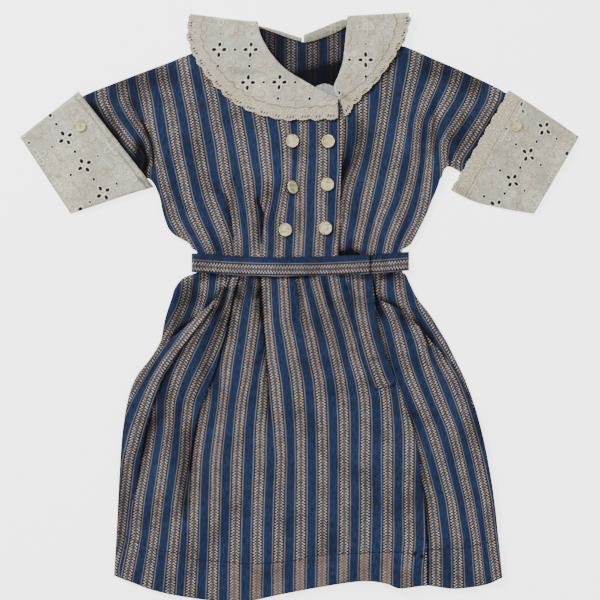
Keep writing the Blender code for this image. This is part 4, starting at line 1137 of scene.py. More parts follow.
def hem_drop(x, y, straight_hem):
    """How far each place moves down or up, for the last section to follow the hem's edge."""
    share = soft_step((HEM_FOLLOWED_FROM - y) / (HEM_FOLLOWED_FROM + HEM_STRAIGHT))
    return (height_on(HEM_EDGE, x) - straight_hem) * share


def section_grid(sections, count, steps):
    """A grid of places with the sections as its rows, from the hem up."""
    grid = grid_between(sections, count, np.linspace(0.0, 1.0, steps))[::-1]
    grid[..., 1] += hem_drop(grid[..., 0], grid[..., 1], grid[0, :, 1][None, :])
    return grid


def skirt_front(node, sections, steps):
    """A front with its turned-up hem: a low step at the stitching, and a line sunk along it."""
    places = section_grid(sections, 150, steps)
    x, over_line = places[..., 0], places[..., 1] - height_on(HEM_LINE, places[..., 0])
    rise = HEM_STEP * (1.0 - soft_step((over_line + HEM_STEP_WIDE / 2) / HEM_STEP_WIDE))
    rise = rise - HEM_SUNK * bump_at(over_line, HEM_SUNK_WIDE)
    front_panel(node, places, SKIRT_CREASES, 4, rise, {"hem": (x, HEM_MARK - over_line)})


skirt_front("skirt_front_left", SKIRT_LEFT_SECTIONS, 260)
skirt_front("skirt_front_right", SKIRT_RIGHT_SECTIONS, 110)

# %% [markdown]
# The back of the skirt lies on the table and turns up round both sides, so at the hips it shows in
# front as two dark wedges. Each section is a flat U: a strip on the front, a bend, the long back, a bend
# and a strip again.

# %% Back of the skirt
SKIRT_BACK_SECTIONS = [
    # y, left x, right x, how far the left and the right side wrap round to the front
    (SKIRT_END, -110, 112, 66, 56),
    (37, -110.5, 112.5, 67, 57),
    (34.3, -117, 116, 73, 58),
    (30, -126.5, 118, 76, 58),
    (20, -134.5, 122.5, 76, 56),
    (8, -138.5, 129, 72, 52),
    (-10, -144.5, 143, 58, 42),
    (-24, -147.5, 151.5, 42, 32),
    (-38, -150.5, 160, 26, 24),
    (-56, -161, 169, 11, 11),
    (-79, -178, 180, 7, 7),
    (-112, -188, 192, 7, 7),
    (-160, -193, 204, 7, 7),
    (-215, -196, 213, 7, 7),
    (-291, -200, 220, 7, 7)]
BACK_LAYER = 1.8
BELT_UNDER_FROM, BELT_UNDER_TO = 15.0, 5.0
SIDE_TURN = 1.05         # radius of the bend at each side
HALF_CIRCLE = np.linspace(0.0, math.pi, 10)[1:-1]
FRONT_ABOVE = 2.2        # what lies higher than this is on the front
PRESSED, PRESSED_OVER = 0.7, 0.8         # the front strips are pressed down by so much
STRIP_COLUMNS, BACK_COLUMNS = 24, 90
BACK_FLARE = 0.0011      # the back's stripes spread by this share with each millimetre below the waist
BACK_SHIFT = 0.3         # share of a repeat from the back's middle to the middle of a band


def skirt_back_points(rows):
    """The back, section by section: a strip on the front, a bend, the back, a bend and a strip."""
    sections = []
    for y, left, right, wrap_left, wrap_right in smooth_rows(SKIRT_BACK_SECTIONS, rows)[::-1]:
        lift = BACK_LAYER * float(soft_step((y - BELT_UNDER_TO) / (BELT_UNDER_FROM - BELT_UNDER_TO)))
        floor = lift + HALF_WALL
        left, right = left + HALF_WALL, right - HALF_WALL
        ends = []
        for edge, wrap, inward in ((left, wrap_left, 1.0), (right, wrap_right, -1.0)):
            strip = [(edge + inward * (SIDE_TURN + (1.0 - t) * (wrap - SIDE_TURN)), floor + 2 * SIDE_TURN)
                     for t in np.linspace(0.0, 1.0, STRIP_COLUMNS)]
            bend = [(edge + inward * SIDE_TURN * (1.0 - math.sin(a)),
                     floor + SIDE_TURN * (1.0 + math.cos(a))) for a in HALF_CIRCLE]
            ends.append(strip + bend)
        inner = [(x, floor) for x in np.linspace(left + SIDE_TURN, right - SIDE_TURN, BACK_COLUMNS)]
        sections.append([(x, y, z) for x, z in ends[0] + inner + ends[1][::-1]])
    points = np.array(sections)
    points[..., 1] += hem_drop(points[..., 0], points[..., 1], points[0, 0, 1])
    return points


def wrapped_map(points, corners):
    """Stripes that go on round the sides: across is measured along the cloth from its middle."""
    step = np.hypot(np.diff(points[..., 0], axis=1), np.diff(points[..., 2], axis=1))
    run = np.concatenate([np.zeros((len(points), 1)), np.cumsum(step, axis=1)], axis=1)
    middle = run[:, run.shape[1] // 2][:, None]
    widen = 1.0 + BACK_FLARE * np.clip(WAIST_SEAM - points[..., 1], 0.0, None)
    across = (run - middle) / STRIPE / widen + BACK_SHIFT
    return np.stack([across[corners], points[..., 1][corners]], axis=-1)


WRAP_SHADOWS = [
    (-118, 28, -96, 32, -72, 30, 0.6, 4.0),
    (-80, 26, -88, 10, -104, -6, 0.8, 4.5),
    (-104, -6, -124, -22, -146, -40, 0.8, 4.0),
    (-122, 30, -128, 2, -140, -34, 0.6, 9.0),
    (-116, 30, -112, 14, -118, -4, 0.5, 7.0),
    (82, 30, 98, 33, 116, 30, 0.6, 4.0),
    (84, 10, 102, 2, 118, -8, 0.8, 4.0),
    (118, -8, 132, -22, 150, -44, 0.8, 4.0)]

WRAP_HEIGHTS = (33, 14, -2, -21, -50, -90)
WRAP_LEFT_STRIPES = [
    (-12, -119.5, -121, -126, -136, -152, -174),
    (-11, -102.5, -104, -108, -116, -132, -154),
    (-10, -83.5, -86, -92, -102, -118, -140)]
WRAP_RIGHT_STRIPES = [
    (20, 88.4, 87.5, 92, 100, 115, 135),
    (21, 108, 110.4, 114, 124, 142, 165),
    (22, 127, 129, 134, 147, 165, 185)]
WRAP_COLUMNS = STRIP_COLUMNS + len(HALF_CIRCLE)      # on the front or in the bend, at each side
wrap_left = Stripes(WRAP_LEFT_STRIPES, WRAP_HEIGHTS)
wrap_right = Stripes(WRAP_RIGHT_STRIPES, WRAP_HEIGHTS)


def skirt_back_map(points, corners):
    """Straight stripes on the back, and the ones that show on the two wrapped strips."""
    column = corners[1].min(axis=1)[:, None, None]
    last = points.shape[1] - 1
    whole = wrapped_map(points, corners)
    whole = np.where(column < WRAP_COLUMNS, wrap_left.corner_map(points, corners), whole)
    return np.where(column >= last - WRAP_COLUMNS, wrap_right.corner_map(points, corners), whole)


def skirt_back():
    points = skirt_back_points(110)[::-1]
    points[..., 2] -= PRESSED * soft_step((points[..., 2] - FRONT_ABOVE) / PRESSED_OVER)
    dark = soft_rows(WRAP_SHADOWS, points[..., 0], points[..., 1], SHADOW_ENDS)
    dark = dark * (points[..., 2] > FRONT_ABOVE)
    lay_cloth("skirt_back", points, "striped_cotton",
              {"cloth": skirt_back_map, "shade": shade_grids(dark)}, offset=0.0)


skirt_back()

# %% [markdown]
# The belt is one long strip of the same cloth, cut so that a single band runs along it. It starts under
# its own outer end, goes round the back, and comes over the front again to a square end. Its path is
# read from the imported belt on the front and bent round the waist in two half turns.

# %% Belt
BELT_WIDTH = 20.0
BELT_LEFT, BELT_RIGHT = -114.5, 117.4
BELT_END, BELT_START = 76.0, 52.0
BELT_BAND_UP = -3.3      # the band lies a little below the belt's middle
BELT_CLOTH = 1.4         # the belt is sewn double, so it is thicker than the rest
TURN_IN = 8.0            # from a turn's outer edge to where the belt lies flat
TURN_WIDE, TURN_BACK = 6.0, 5.0          # a turn's half width, and its middle in from its edge
BELT_REACH = 119.0       # from the middle to a side, where the belt lies higher by BELT_SAG
BELT_MIDDLE, BELT_SAG, BELT_LEAN = 43.0, 5.4, 0.9
RIDGE_AT, RIDGE_WIDE, RIDGE_HIGH = 0.93, 0.05, 0.35      # the folded edge, as shares of half the width
RIM_FROM, RIM_LOW = 0.98, 0.3


def belt_middle(x):
    """Middle line of the belt on the front, which sags a little between the hips."""
    share = np.asarray(x) / BELT_REACH
    return BELT_MIDDLE + BELT_SAG * share ** 2 + BELT_LEAN * share


def belt_turn(edge, outward, top):
    """A half turn of the belt round the waist's side, from its top down to the table."""
    half = (top - HALF_WALL) / 2
    return [(edge + outward * (TURN_WIDE * math.sin(a) - TURN_BACK), HALF_WALL + half + half * math.cos(a))
            for a in np.radians(np.linspace(20, 160, 24))]


def belt_path():
    """The strip's way round the waist, as x and height of its middle, from its outer end inwards."""
    outer_x = np.linspace(BELT_END, BELT_LEFT + TURN_IN, 130)
    inner_x = np.linspace(BELT_RIGHT - TURN_IN, BELT_START, 60)
    outer, inner = (SURFACES["belt"].top(x, belt_middle(x)) - HALF_WALL for x in (outer_x, inner_x))
    inner -= BACK_LAYER * soft_step((BELT_END + 2.0 - inner_x) / 3.0)
    path = list(zip(outer_x, outer))
    path += belt_turn(BELT_LEFT, -1.0, outer[-1])
    path += [(x, HALF_WALL) for x in np.linspace(BELT_LEFT + TURN_IN, BELT_RIGHT - TURN_IN, 60)]
    path += belt_turn(BELT_RIGHT, 1.0, inner[0])[::-1]
    path += list(zip(inner_x, inner))
    return np.array(path)


def belt():
    path = belt_path()
    shares = np.concatenate([[-1.0, -0.985, -0.95], np.linspace(-0.88, 0.88, 15), [0.95, 0.985, 1.0]])
    x = np.repeat(path[:, :1], len(shares), axis=1)
    y = belt_middle(x) + shares[None, :] * BELT_WIDTH / 2
    z = np.repeat(path[:, 1:], len(shares), axis=1)
    on_front = share_on_front(z)
    # Both long edges are folded: a low ridge inside each, and a rounded rim.
    folded_edge = (RIDGE_HIGH * bump_at(np.abs(shares)[None, :] - RIDGE_AT, RIDGE_WIDE)
                   - RIM_LOW * (np.abs(shares) > RIM_FROM))
    ripple = 0.25 * np.sin(x / 9.0) + 0.2 * np.sin(x / 23.0 + shares[None, :] * 2.0)
    z += on_front * (folded_edge + ripple * 0.6)
    y += on_front * (0.35 * np.sin(x / 21.0) + 0.25 * np.sin(x / 8.0 + 1.0))
    # Painted shade along both folded edges and on the under layer just past the outer end; the front is
    # also a little darker all along, in slow waves.
    dark = on_front * (0.35 * (np.abs(shares) > 0.97)[None, :]
                       + 0.5 * bump_at(x - BELT_END - 1.2, 1.6) * (x > BELT_END)
                       + 0.12 + 0.08 * np.sin(x / 31.0))
    points = np.dstack([x, y, z])
    run = np.repeat(run_along(points[:, len(shares) // 2])[:, None], len(shares), axis=1)
    across = (y - belt_middle(x) - BELT_BAND_UP) / STRIPE
    lay_cloth("belt", points, "striped_cotton", {"cloth": (across, run), "shade": shade_grids(dark)},
              offset=0.0, thickness=BELT_CLOTH)


belt()

# %% [markdown]
# The belt's loose end hangs from the crossing. It is the same strip, so the same band runs down it, and
# its lower end is sewn to a rounded corner.

# %% Loose end of the belt
TAB_ROWS = [
    # left x, left y, right x, right y
    (53, 40.5, 77.5, 40.5),
    (53.5, 30, 78.5, 31),
    (56, 8, 80, 10),
    (60, -20, 84.5, -18),
    (67.5, -50, 92, -45),
    (76, -77, 101, -71),
    (80.5, -89, 107, -83)]
TAB_BAND_AT = 0.39       # share of its width at which the band's middle lies
TAB_WIDE = 24.6
TAB_SHADOWS = [
    (54, 31, 66, 31, 80, 31, 0.7, 2.6),
    (74, -58, 80, -57, 88, -56, 0.5, 2.0),
    (62, 28, 64, 22, 66, 16, 0.35, 4.0)]


def loose_end():
    t = np.concatenate([[0.0, 0.015, 0.04], np.linspace(0.08, 0.92, 21), [0.96, 0.985, 1.0]])
    places = grid_between(TAB_ROWS, 90, t)[::-1]
    low = soft_step(1.0 - np.arange(len(places)) / 12.0)[:, None]
    right_corner, left_corner = np.clip(t - 0.75, 0, 1) / 0.25, np.clip(0.15 - t, 0, 1) / 0.15
    places[..., 1] += low * (4.5 * right_corner + 1.2 * left_corner)
    places[..., 0] -= low * 2.6 * np.clip(t - 0.85, 0, 1) / 0.15
    x, y = places[..., 0], places[..., 1]
    edge = np.minimum(t, 1.0 - t)[None, :]
    lift = 0.35 * bump_at(edge - 0.05, 0.03) - 0.3 * (edge < 0.01) + 0.3 * np.sin(y / 11.0)
    # painted shade: the listed shadows, and a narrow line just inside each long edge
    dark = soft_rows(TAB_SHADOWS, x, y, SHADOW_ENDS) + 0.25 * bump_at(edge - 0.09, 0.02)
    across = np.repeat((t - TAB_BAND_AT)[None, :] * TAB_WIDE / STRIPE, len(places), axis=0)
    lay_cloth("belt_tab", laid(places, "belt_tab", lift, passes=3), "striped_cotton",
              {"cloth": (across, y * 1.06), "shade": shade_grids(dark)}, thickness=BELT_CLOTH)


loose_end()

# %% [markdown]
# Each collar half is rolled over at the neck and goes over the shoulder to the middle of the back. A
# row of its table is one station along it, with a point on the rolled edge and one on the scalloped
# edge. The roll at the neck is an arc, and past the shoulder the whole station is turned over.

# %% Collar tables
COLLAR_LEFT_STATIONS = [
    # inner x, inner y, outer x, outer y, turn over the shoulder (0 front, 1 back), roll, strip
    (42, 224.5, 42, 203, 0.0, 50, 0),
    (27, 231, 14, 202, 0.0, 80, 0),
    (4, 244, -24, 203, 0.0, 90, 0),
    (-15, 256, -62, 216, 0.0, 90, 0),
    (-30, 272, -92, 241, 0.0, 90, 0),
    (-39, 287, -113, 271, 0.0, 90, 0),
    (-43, 297, -120, 293, 0.0, 95, 0),
    (-44.5, 303, -118, 312, 0.0, 110, 0),
    (-44.5, 303.4, -117.8, 312.4, 0.5, 130, 0),
    (-44, 303, -118, 312, 1.0, 150, 0),
    (-39, 302.5, -115, 296, 1.0, 175, 1),
    (-30, 300.5, -102, 262, 1.0, 180, 1.6),
    (-18, 297, -64, 229, 1.0, 180, 1.6),
    (-8, 293.5, -28, 216, 1.0, 180, 1.6),
    (3, 290.3, 3, 213, 1.0, 180, 1.6)]
COLLAR_RIGHT_STATIONS = [
    (45.5, 219, 50, 205, 0.0, 70, 0),
    (40, 229, 61, 220, 0.0, 80, 0),
    (38.5, 239, 84, 244, 0.0, 90, 0),
    (43, 250, 100, 266, 0.0, 90, 0),
    (48, 266, 112, 287, 0.0, 90, 0),
    (50, 284, 118, 303, 0.0, 90, 0),
    (51.5, 299, 119.5, 310, 0.0, 95, 0),
    (53, 310, 118, 313.5, 0.0, 110, 0),
    (52.5, 310.6, 118, 314, 0.5, 130, 1),
    (52, 310, 118, 313.5, 1.0, 150, 3),
    (47, 310, 115.5, 298, 1.0, 175, 9),
    (37, 306.5, 104, 264, 1.0, 180, 9.5),
    (25, 301.5, 72, 230, 1.0, 180, 8.5),
    (14, 297, 34, 216, 1.0, 180, 7.5),
    (5.2, 293.5, 5.2, 213, 1.0, 180, 6)]
COLLAR_ROLL = 1.9
COLLAR_ABOVE_FRONT = 2.05        # from the front's upper face to the middle of the collar
FLOWER_FRAMES = {
    # piece: a flower's middle x, y, way to the next flower x, y, way to the next row x, y
    "collar_left": (-86, 277, 34, 0, -3, -35.5),
    "collar_right": (72, 266, 35, 0, 0, -35.5),
    "cuff_left": (-252, 182, 20.3, -29.7, 29.7, 20.3),
    "cuff_right": (248, 164, -17.3, -28, -27, 22)}
print("collar stations", len(COLLAR_LEFT_STATIONS), "and", len(COLLAR_RIGHT_STATIONS))


# %% Collar halves
ROLL_STEPS = 12          # rows of the grid in the roll at the neck
INSIDE = 60.0            # what the edge map says where no lace is near
FINER = 1.7              # the stiffer eyelet cloth is rumpled in so much smaller waves
COLLAR_RUMPLE, COLLAR_CREASE_SHADE = 0.65, 0.15
RUFFLE_WIDE, RUFFLE_HIGH, RUFFLE_WAVE = 14.0, 0.45, 5.2  # the lace edge waves up and down a little
BEHIND_DARK = 0.4        # shade on the part that lies behind
WHOLE_FROM, WHOLE_OVER = 15.0, 6.0       # rows from the neck's edge up to the first open flowers


def flower_grids(node, points):
    """The repeats of the embroidery, counted along and across its rows."""
    x0, y0, ax, ay, bx, by = FLOWER_FRAMES[node]
    turn = np.linalg.inv(np.array([[ax, bx], [ay, by]]))
    place = (points[..., 0:2] - (x0, y0)) @ turn.T
    return place[..., 0], place[..., 1]


def opened_rows(flowers, first, last, others):
    """1 in the rows of flowers that are punched through, and a lower share in the others."""
    return np.where((flowers[1] > first - 0.5) & (flowers[1] < last + 0.5), 1.0, others)


def roll_at_neck(sheet, ahead, outward, angle, strip):
    """Points that curl from the sheet's first one round and under, and then run straight for strip."""
    rolled = [sheet[0] - ahead * COLLAR_ROLL * math.sin(a) - outward * COLLAR_ROLL * (1.0 - math.cos(a))
              for a in np.linspace(angle, 0.0, ROLL_STEPS + 1)[:-1]]
    tangent = -ahead * math.cos(angle) - outward * math.sin(angle)
    return [rolled[0] + tangent * (0.4 + strip), *rolled]


def collar_points(side, stations, under, count=300, steps=84):
    """Points of a collar half, and how far each lies along its edge and in from it."""
    rows = smooth_rows(stations, count)
    run = run_along(rows[:, 2:4])
    # Scallops of even width, a little deeper here and shallower there.
    scallop = (2.1 * np.abs(np.sin(math.pi * run / SCALLOP)) + 0.5 * np.sin(run * 1.9)
               + 0.3 * np.sin(run * 4.7) - 0.4)
    shares = np.linspace(0.0, 1.0, steps)
    inner, outer = rows[:, 0:2], rows[:, 2:4]
    span = np.linalg.norm(outer - inner, axis=1)
    heading = (outer - inner) / span[:, None]
    reach = COLLAR_ROLL + shares[None, :] * (span + scallop - COLLAR_ROLL)[:, None]
    places = inner[:, None] + heading[:, None] * reach[..., None]
    front = smoothed(under.top(places[..., 0], places[..., 1]), 8) + COLLAR_ABOVE_FRONT
    points = np.empty((count, ROLL_STEPS + 1 + steps, 3))
    for i, row in enumerate(rows):
        beyond = np.array([-heading[i][1], heading[i][0]]) * side
        half_turn = math.pi * min(max(row[4], 0.0), 1.0)
        radius = (front[i] - HALF_WALL) / 2
        sheet = np.empty((steps, 3))
        sheet[:, 0:2] = places[i] + beyond * (radius * math.sin(half_turn))[:, None]
        sheet[:, 2] = HALF_WALL + radius + radius * math.cos(half_turn)
        outward = np.array([*(beyond * math.sin(half_turn)), math.cos(half_turn)])
        angle = math.radians(min(max(row[5], 45.0), 180.0))
        roll = roll_at_neck(sheet, np.array([*heading[i], 0.0]), outward, angle, max(row[6], 0.0))
        points[i] = np.vstack([*roll, sheet])
    along = np.repeat(run[:, None], points.shape[1], axis=1)
    inwards = np.hstack([np.full((count, ROLL_STEPS + 1), INSIDE), (span + scallop)[:, None] - reach])
    return points, along, inwards


COLLAR_SHADOWS = [
    (-84, 256, -60, 253, -32, 254, 0.25, 3.0),
    (44, 232, 50, 226, 58, 222, 0.5, 3.0),
    (41, 224, 43, 214, 43, 204, 0.5, 2.0),
    (36, 240, 38, 252, 42, 262, 0.25, 3.0)]
COLLAR_CREASES = [
    # start x, start y, middle x, middle y, end x, end y, height, width
    (-82, 262, -62, 258, -34, 259, 1.2, 3.6),
    (-78, 255, -58, 251, -30, 252, -0.9, 3.0),
    (-108, 300, -92, 284, -84, 262, 0.7, 7.0),
    (-60, 300, -56, 280, -52, 262, 0.6, 8.0),
    (-30, 240, -10, 226, 20, 214, 0.6, 6.0),
    (84, 300, 82, 276, 78, 254, 0.8, 7.0),
    (104, 302, 98, 282, 90, 262, -0.7, 5.0),
    (62, 290, 64, 264, 58, 240, 0.7, 6.0),
    (52, 222, 58, 232, 66, 240, -0.6, 3.0),
    (-96, 290, -80, 286, -62, 292, -0.7, 3.0),
    (-110, 268, -96, 262, -84, 250, 0.7, 4.0),
    (-66, 240, -44, 228, -22, 222, -0.6, 3.4),
    (-20, 228, 4, 216, 30, 210, -0.6, 3.0),
    (-56, 272, -48, 262, -44, 248, -0.6, 3.0),
    (66, 300, 76, 292, 90, 296, -0.7, 3.0),
    (60, 262, 72, 252, 88, 250, 0.7, 3.4),
    (56, 246, 66, 238, 76, 238, -0.6, 3.0),
    (96, 292, 106, 284, 112, 292, 0.6, 3.0),
    (-104, 306, -88, 300, -70, 304, 0.6, 3.0),
    (-100, 276, -92, 264, -90, 250, -0.6, 3.0),
    (-72, 286, -62, 276, -60, 264, -0.5, 2.6),
    (-50, 262, -34, 250, -22, 248, 0.6, 3.0),
    (-8, 232, 6, 228, 18, 222, 0.5, 2.6),
    (-40, 226, -20, 218, 0, 216, 0.5, 2.8),
    (78, 286, 88, 276, 98, 276, 0.6, 3.0),
    (70, 256, 78, 244, 86, 240, -0.6, 2.8),
    (50, 240, 54, 228, 52, 216, 0.5, 2.6)]


def collar(node, side, stations, under):
    points, along, inwards = collar_points(side, stations, SURFACES[under])
    x, y = points[..., 0], points[..., 1]
    on_front = share_on_front(points[..., 2])
    ruffle = soft_step(1.0 - inwards / RUFFLE_WIDE) * RUFFLE_HIGH * np.sin(along / RUFFLE_WAVE)
    rumpled = rumple(x * FINER, y * FINER, COLLAR_RUMPLE)
    lift = soft_rows(COLLAR_CREASES, x, y, CREASE_ENDS) + rumpled + ruffle
    points[..., 2] += on_front * lift
    sunk = np.clip(-lift, 0.0, None)
    dark = soft_rows(COLLAR_SHADOWS, x, y, SHADOW_ENDS) + COLLAR_CREASE_SHADE * sunk
    dark = on_front * dark + BEHIND_DARK * (1.0 - on_front)
    if side < 0:
        points, along, inwards, dark = points[::-1], along[::-1], inwards[::-1], dark[::-1]
    flowers = flower_grids(node, points)
    # No flower is cut open by the neck's edge.
    whole_at_neck = soft_step((np.arange(points.shape[1]) - WHOLE_FROM) / WHOLE_OVER)[None, :]
    opened = opened_rows(flowers, 0, 2, 0.1) * whole_at_neck
    opened = np.where(inwards < LACE_WIDE, 0.75, opened)
    maps = {"flowers": flowers, "edge": (along, inwards), "shade": shade_grids(dark, opened)}
    lay_cloth(node, points, "eyelet_cotton", maps, offset=0.0)


collar("collar_left", -1.0, COLLAR_LEFT_STATIONS, "bodice_front_left")
collar("collar_right", 1.0, COLLAR_RIGHT_STATIONS, "bodice_front_right")

# %% [markdown]
# A cuff is a flattened tube that is turned back over the end of the sleeve. Each section of its table
# is closed into a loop: flat on top, bent round both sides, and flat below. The left one ends in a
# folded band at the sleeve, and the right one in a scalloped edge.

# %% Cuffs
CUFF_LEFT_SECTIONS = [
    # upper x, upper y, lower x, lower y, air inside the flattened tube
    (-239, 233, -157, 129, 5.4),
    (-258, 218, -184, 121, 5.2),
    (-280, 201, -214, 111, 3.8),
    (-302, 184, -247, 100, 2.6)]
CUFF_RIGHT_SECTIONS = [
    (228, 234, 165, 125, 5.4),
    (250, 220, 190, 113, 5.2),
    (276, 203, 224, 105, 3.8),
    (303, 184, 254, 100, 2.6)]
CUFF_SHADOWS = [
    (-174, 142, -164, 134, -156, 130, 0.5, 4.0),
    (-300, 178, -270, 130, -250, 104, 0.2, 5.0),
    (168, 134, 172, 128, 190, 116, 0.3, 4.0)]
CUFF_CREASES = [
    # start x, start y, middle x, middle y, end x, end y, height, width
    (-246, 216, -216, 180, -186, 136, -0.5, 5.0),
    (-280, 190, -250, 160, -222, 118, 0.5, 8.0),
    (-262, 208, -268, 180, -262, 150, 0.5, 8.0),
    (248, 206, 222, 170, 196, 130, -0.5, 5.0),
    (286, 184, 262, 150, 238, 112, 0.6, 8.0),
    (240, 216, 262, 190, 268, 160, 0.4, 7.0),
    (-228, 206, -220, 192, -206, 178, 0.8, 3.0),
    (-222, 176, -206, 168, -192, 150, -0.8, 3.0),
    (-250, 176, -232, 160, -224, 140, 0.7, 3.4),
    (-288, 186, -276, 172, -276, 156, -0.6, 4.0),
    (-246, 140, -232, 128, -214, 120, -0.6, 3.4),
    (212, 190, 226, 180, 232, 160, 0.8, 3.0),
    (194, 160, 208, 152, 214, 134, -0.8, 3.0),
    (250, 196, 256, 176, 272, 168, 0.7, 3.4),
    (226, 140, 240, 128, 246, 112, -0.7, 3.4),
    (272, 196, 284, 184, 288, 172, -0.6, 3.0),
    (-268, 196, -254, 186, -236, 190, 0.7, 3.0),
    (-282, 170, -264, 166, -250, 154, 0.7, 3.4),
    (-262, 138, -252, 124, -240, 112, 0.7, 3.4),
    (-240, 196, -232, 180, -232, 166, -0.7, 3.0),
    (232, 204, 240, 190, 254, 186, 0.7, 3.0),
    (214, 170, 228, 166, 244, 174, -0.7, 3.0),
    (256, 150, 262, 136, 258, 120, 0.7, 3.4),
    (276, 158, 268, 144, 270, 130, -0.6, 3.0)]
FLAT_STEPS = 90          # points across the flat of a cuff
FOLD_AT, FOLD_LINE = 2.4, 6.4        # the folded band's middle and its line, in from the open edge
FOLD_HIGH, FOLD_WIDE = 1.1, 2.2
LINE_DEEP, LINE_WIDE, LINE_DARK = 0.6, 1.5, 0.55
BAND_WIDE, BAND_HIGH = 6.0, 0.25
CUFF_RUMPLE, CUFF_CREASE_SHADE, UNDERSIDE_DARK = 0.8, 0.08, 0.1
FAR_END_WIDE, FAR_END_LOW = 3.0, 0.35            # the tube's other end is pressed down
NO_LACE = 40.0           # added to the way in, so that no lace shows on this cuff
TOP_FROM, TOP_OVER = 3.2, 1.5        # height at which a cuff passes from its underside to its top


def cuff_points(sections, count, scalloped):
    """Points of a flattened tube, and how far each lies round it and in from its open edge."""
    rows, ways = [], []
    for ux, uy, lx, ly, air in smooth_rows(sections, count):
        upper, lower = np.array([ux, uy]), np.array([lx, ly])
        length = float(np.linalg.norm(lower - upper))
        heading = (lower - upper) / length
        radius = (air + 2 * HALF_WALL) / 2
        first = HALF_WALL + radius
        flat = first + np.linspace(0.0, 1.0, FLAT_STEPS) * (length - 2 * first)
        level = np.full(FLAT_STEPS, radius)
        bend = np.linspace(0.0, math.pi, 13)[1:-1]
        out, up = radius * np.sin(bend), radius * np.cos(bend)
        way = np.concatenate([flat, length - first + out, flat[::-1], first - out, flat[:1]])
        high = np.concatenate([level, up, -level, -up, level[:1]])
        rows.append(np.column_stack([upper + heading * way[:, None], HALF_WALL + radius + high]))
        ways.append(way)
    points, way = np.array(rows), np.array(ways)
    depth = np.repeat(run_along(points[:, FLAT_STEPS // 2])[:, None], points.shape[1], axis=1)
    if scalloped:
        # The open edge moves outwards in scallops, and the cloth near it follows less and less.
        pull = (points[1] - points[0]) / np.linalg.norm(points[1] - points[0], axis=1)[:, None]
        wave = 1.5 * np.abs(np.sin(math.pi * way[0] / 14.0)) + 0.5 * np.sin(way[0] * 1.9)
        fade = soft_step(1.0 - depth / 8.0)
        points = points - pull[None] * (wave[None] * fade)[..., None]
    return points, way, depth


def cuff(node, sections, scalloped):
    points, way, depth = cuff_points(sections, 60, scalloped)
    x, y, z = points[..., 0], points[..., 1], points[..., 2]
    on_top = soft_step((z - TOP_FROM) / TOP_OVER)
    far_end = soft_step((depth - depth.max() + FAR_END_WIDE) / FAR_END_WIDE)
    lift = rumple(x * FINER, y * FINER, CUFF_RUMPLE) - FAR_END_LOW * far_end
    lift += soft_rows(CUFF_CREASES, x, y, CREASE_ENDS)
    inwards = depth
    if not scalloped:
        fold, line = bump_at(depth - FOLD_AT, FOLD_WIDE), bump_at(depth - FOLD_LINE, LINE_WIDE)
        lift += FOLD_HIGH * fold - LINE_DEEP * line
        lift += BAND_HIGH * (depth < BAND_WIDE)
        inwards = depth + NO_LACE
    points[..., 2] += on_top * lift
    dark = CUFF_CREASE_SHADE * np.clip(-lift, 0.0, None) + UNDERSIDE_DARK * (1.0 - on_top)
    dark += on_top * soft_rows(CUFF_SHADOWS, x, y, SHADOW_ENDS)
    if not scalloped:
        # painted shade in the band's sewn line and along its open edge, and darker patches along the band
        dark += LINE_DARK * line + 0.3 * bump_at(depth - 1.0, 1.2)
        dark += 0.2 * np.clip(np.sin(way / 2.1) * np.sin(way / 3.7 + 1.0), 0.0, 1.0) * (depth < BAND_WIDE)
        points, way, inwards, dark = points[::-1], way[::-1], inwards[::-1], dark[::-1]
    flowers = flower_grids(node, points)
    opened = np.where(inwards < LACE_WIDE, 0.3, opened_rows(flowers, 0, 0, 0.42))
    maps = {"flowers": flowers, "edge": (way, inwards), "shade": shade_grids(dark, opened)}
    lay_cloth(node, points, "eyelet_cotton", maps, closed=True, offset=0.0)


cuff("cuff_left", CUFF_LEFT_SECTIONS, False)
cuff("cuff_right", CUFF_RIGHT_SECTIONS, True)

# %% [markdown]
# A shell button is turned on a lathe: a rim, a dish and two holes. One is shaped from a flat cylinder
# by insets and moves, and the rest are copies of it, each moved to its own packed button. One hangs
# loose on its thread and stands on its edge, and its copy is tilted the same way.

# %% One button
BUTTON_ACROSS, BUTTON_HIGH = 14.0, 2.2
RIM_WIDE, DISH_DEEP, HOLE_ACROSS, HOLE_APART = 1.5, 0.75, 1.5, 3.0
SOFT_EDGE = 0.28
WHOLE_FACE = 1000.0      # a radius that takes in all of the button


def inset_top(piece, thickness, move, height, inside):
    """Insets the face that looks up at this height, within a radius, and moves it up or down."""
    for face in piece.data.polygons:
        flat = face.normal.z > 0.9 and abs(face.center.z - height * MM) < 1e-5
        face.select = flat and math.hypot(face.center.x, face.center.y) < inside * MM
    bpy.ops.object.mode_set(mode="EDIT")
    bpy.ops.mesh.select_mode(type="FACE")
    bpy.ops.mesh.inset(thickness=thickness * MM)
    bpy.ops.transform.translate(value=(0, 0, move * MM))
    bpy.ops.object.mode_set(mode="OBJECT")


def drill_hole(button, x):
    bpy.ops.mesh.primitive_cylinder_add(vertices=20, radius=HOLE_ACROSS / 2 * MM, depth=0.01,
                                        location=(x * MM, 0, 0))
    drill = bpy.context.object
    cut = button.modifiers.new("hole", "BOOLEAN")
    cut.object = drill
    cut.operation = "DIFFERENCE"
    bpy.context.view_layer.objects.active = button
    bpy.ops.object.modifier_apply(modifier=cut.name)
    bpy.data.objects.remove(drill)


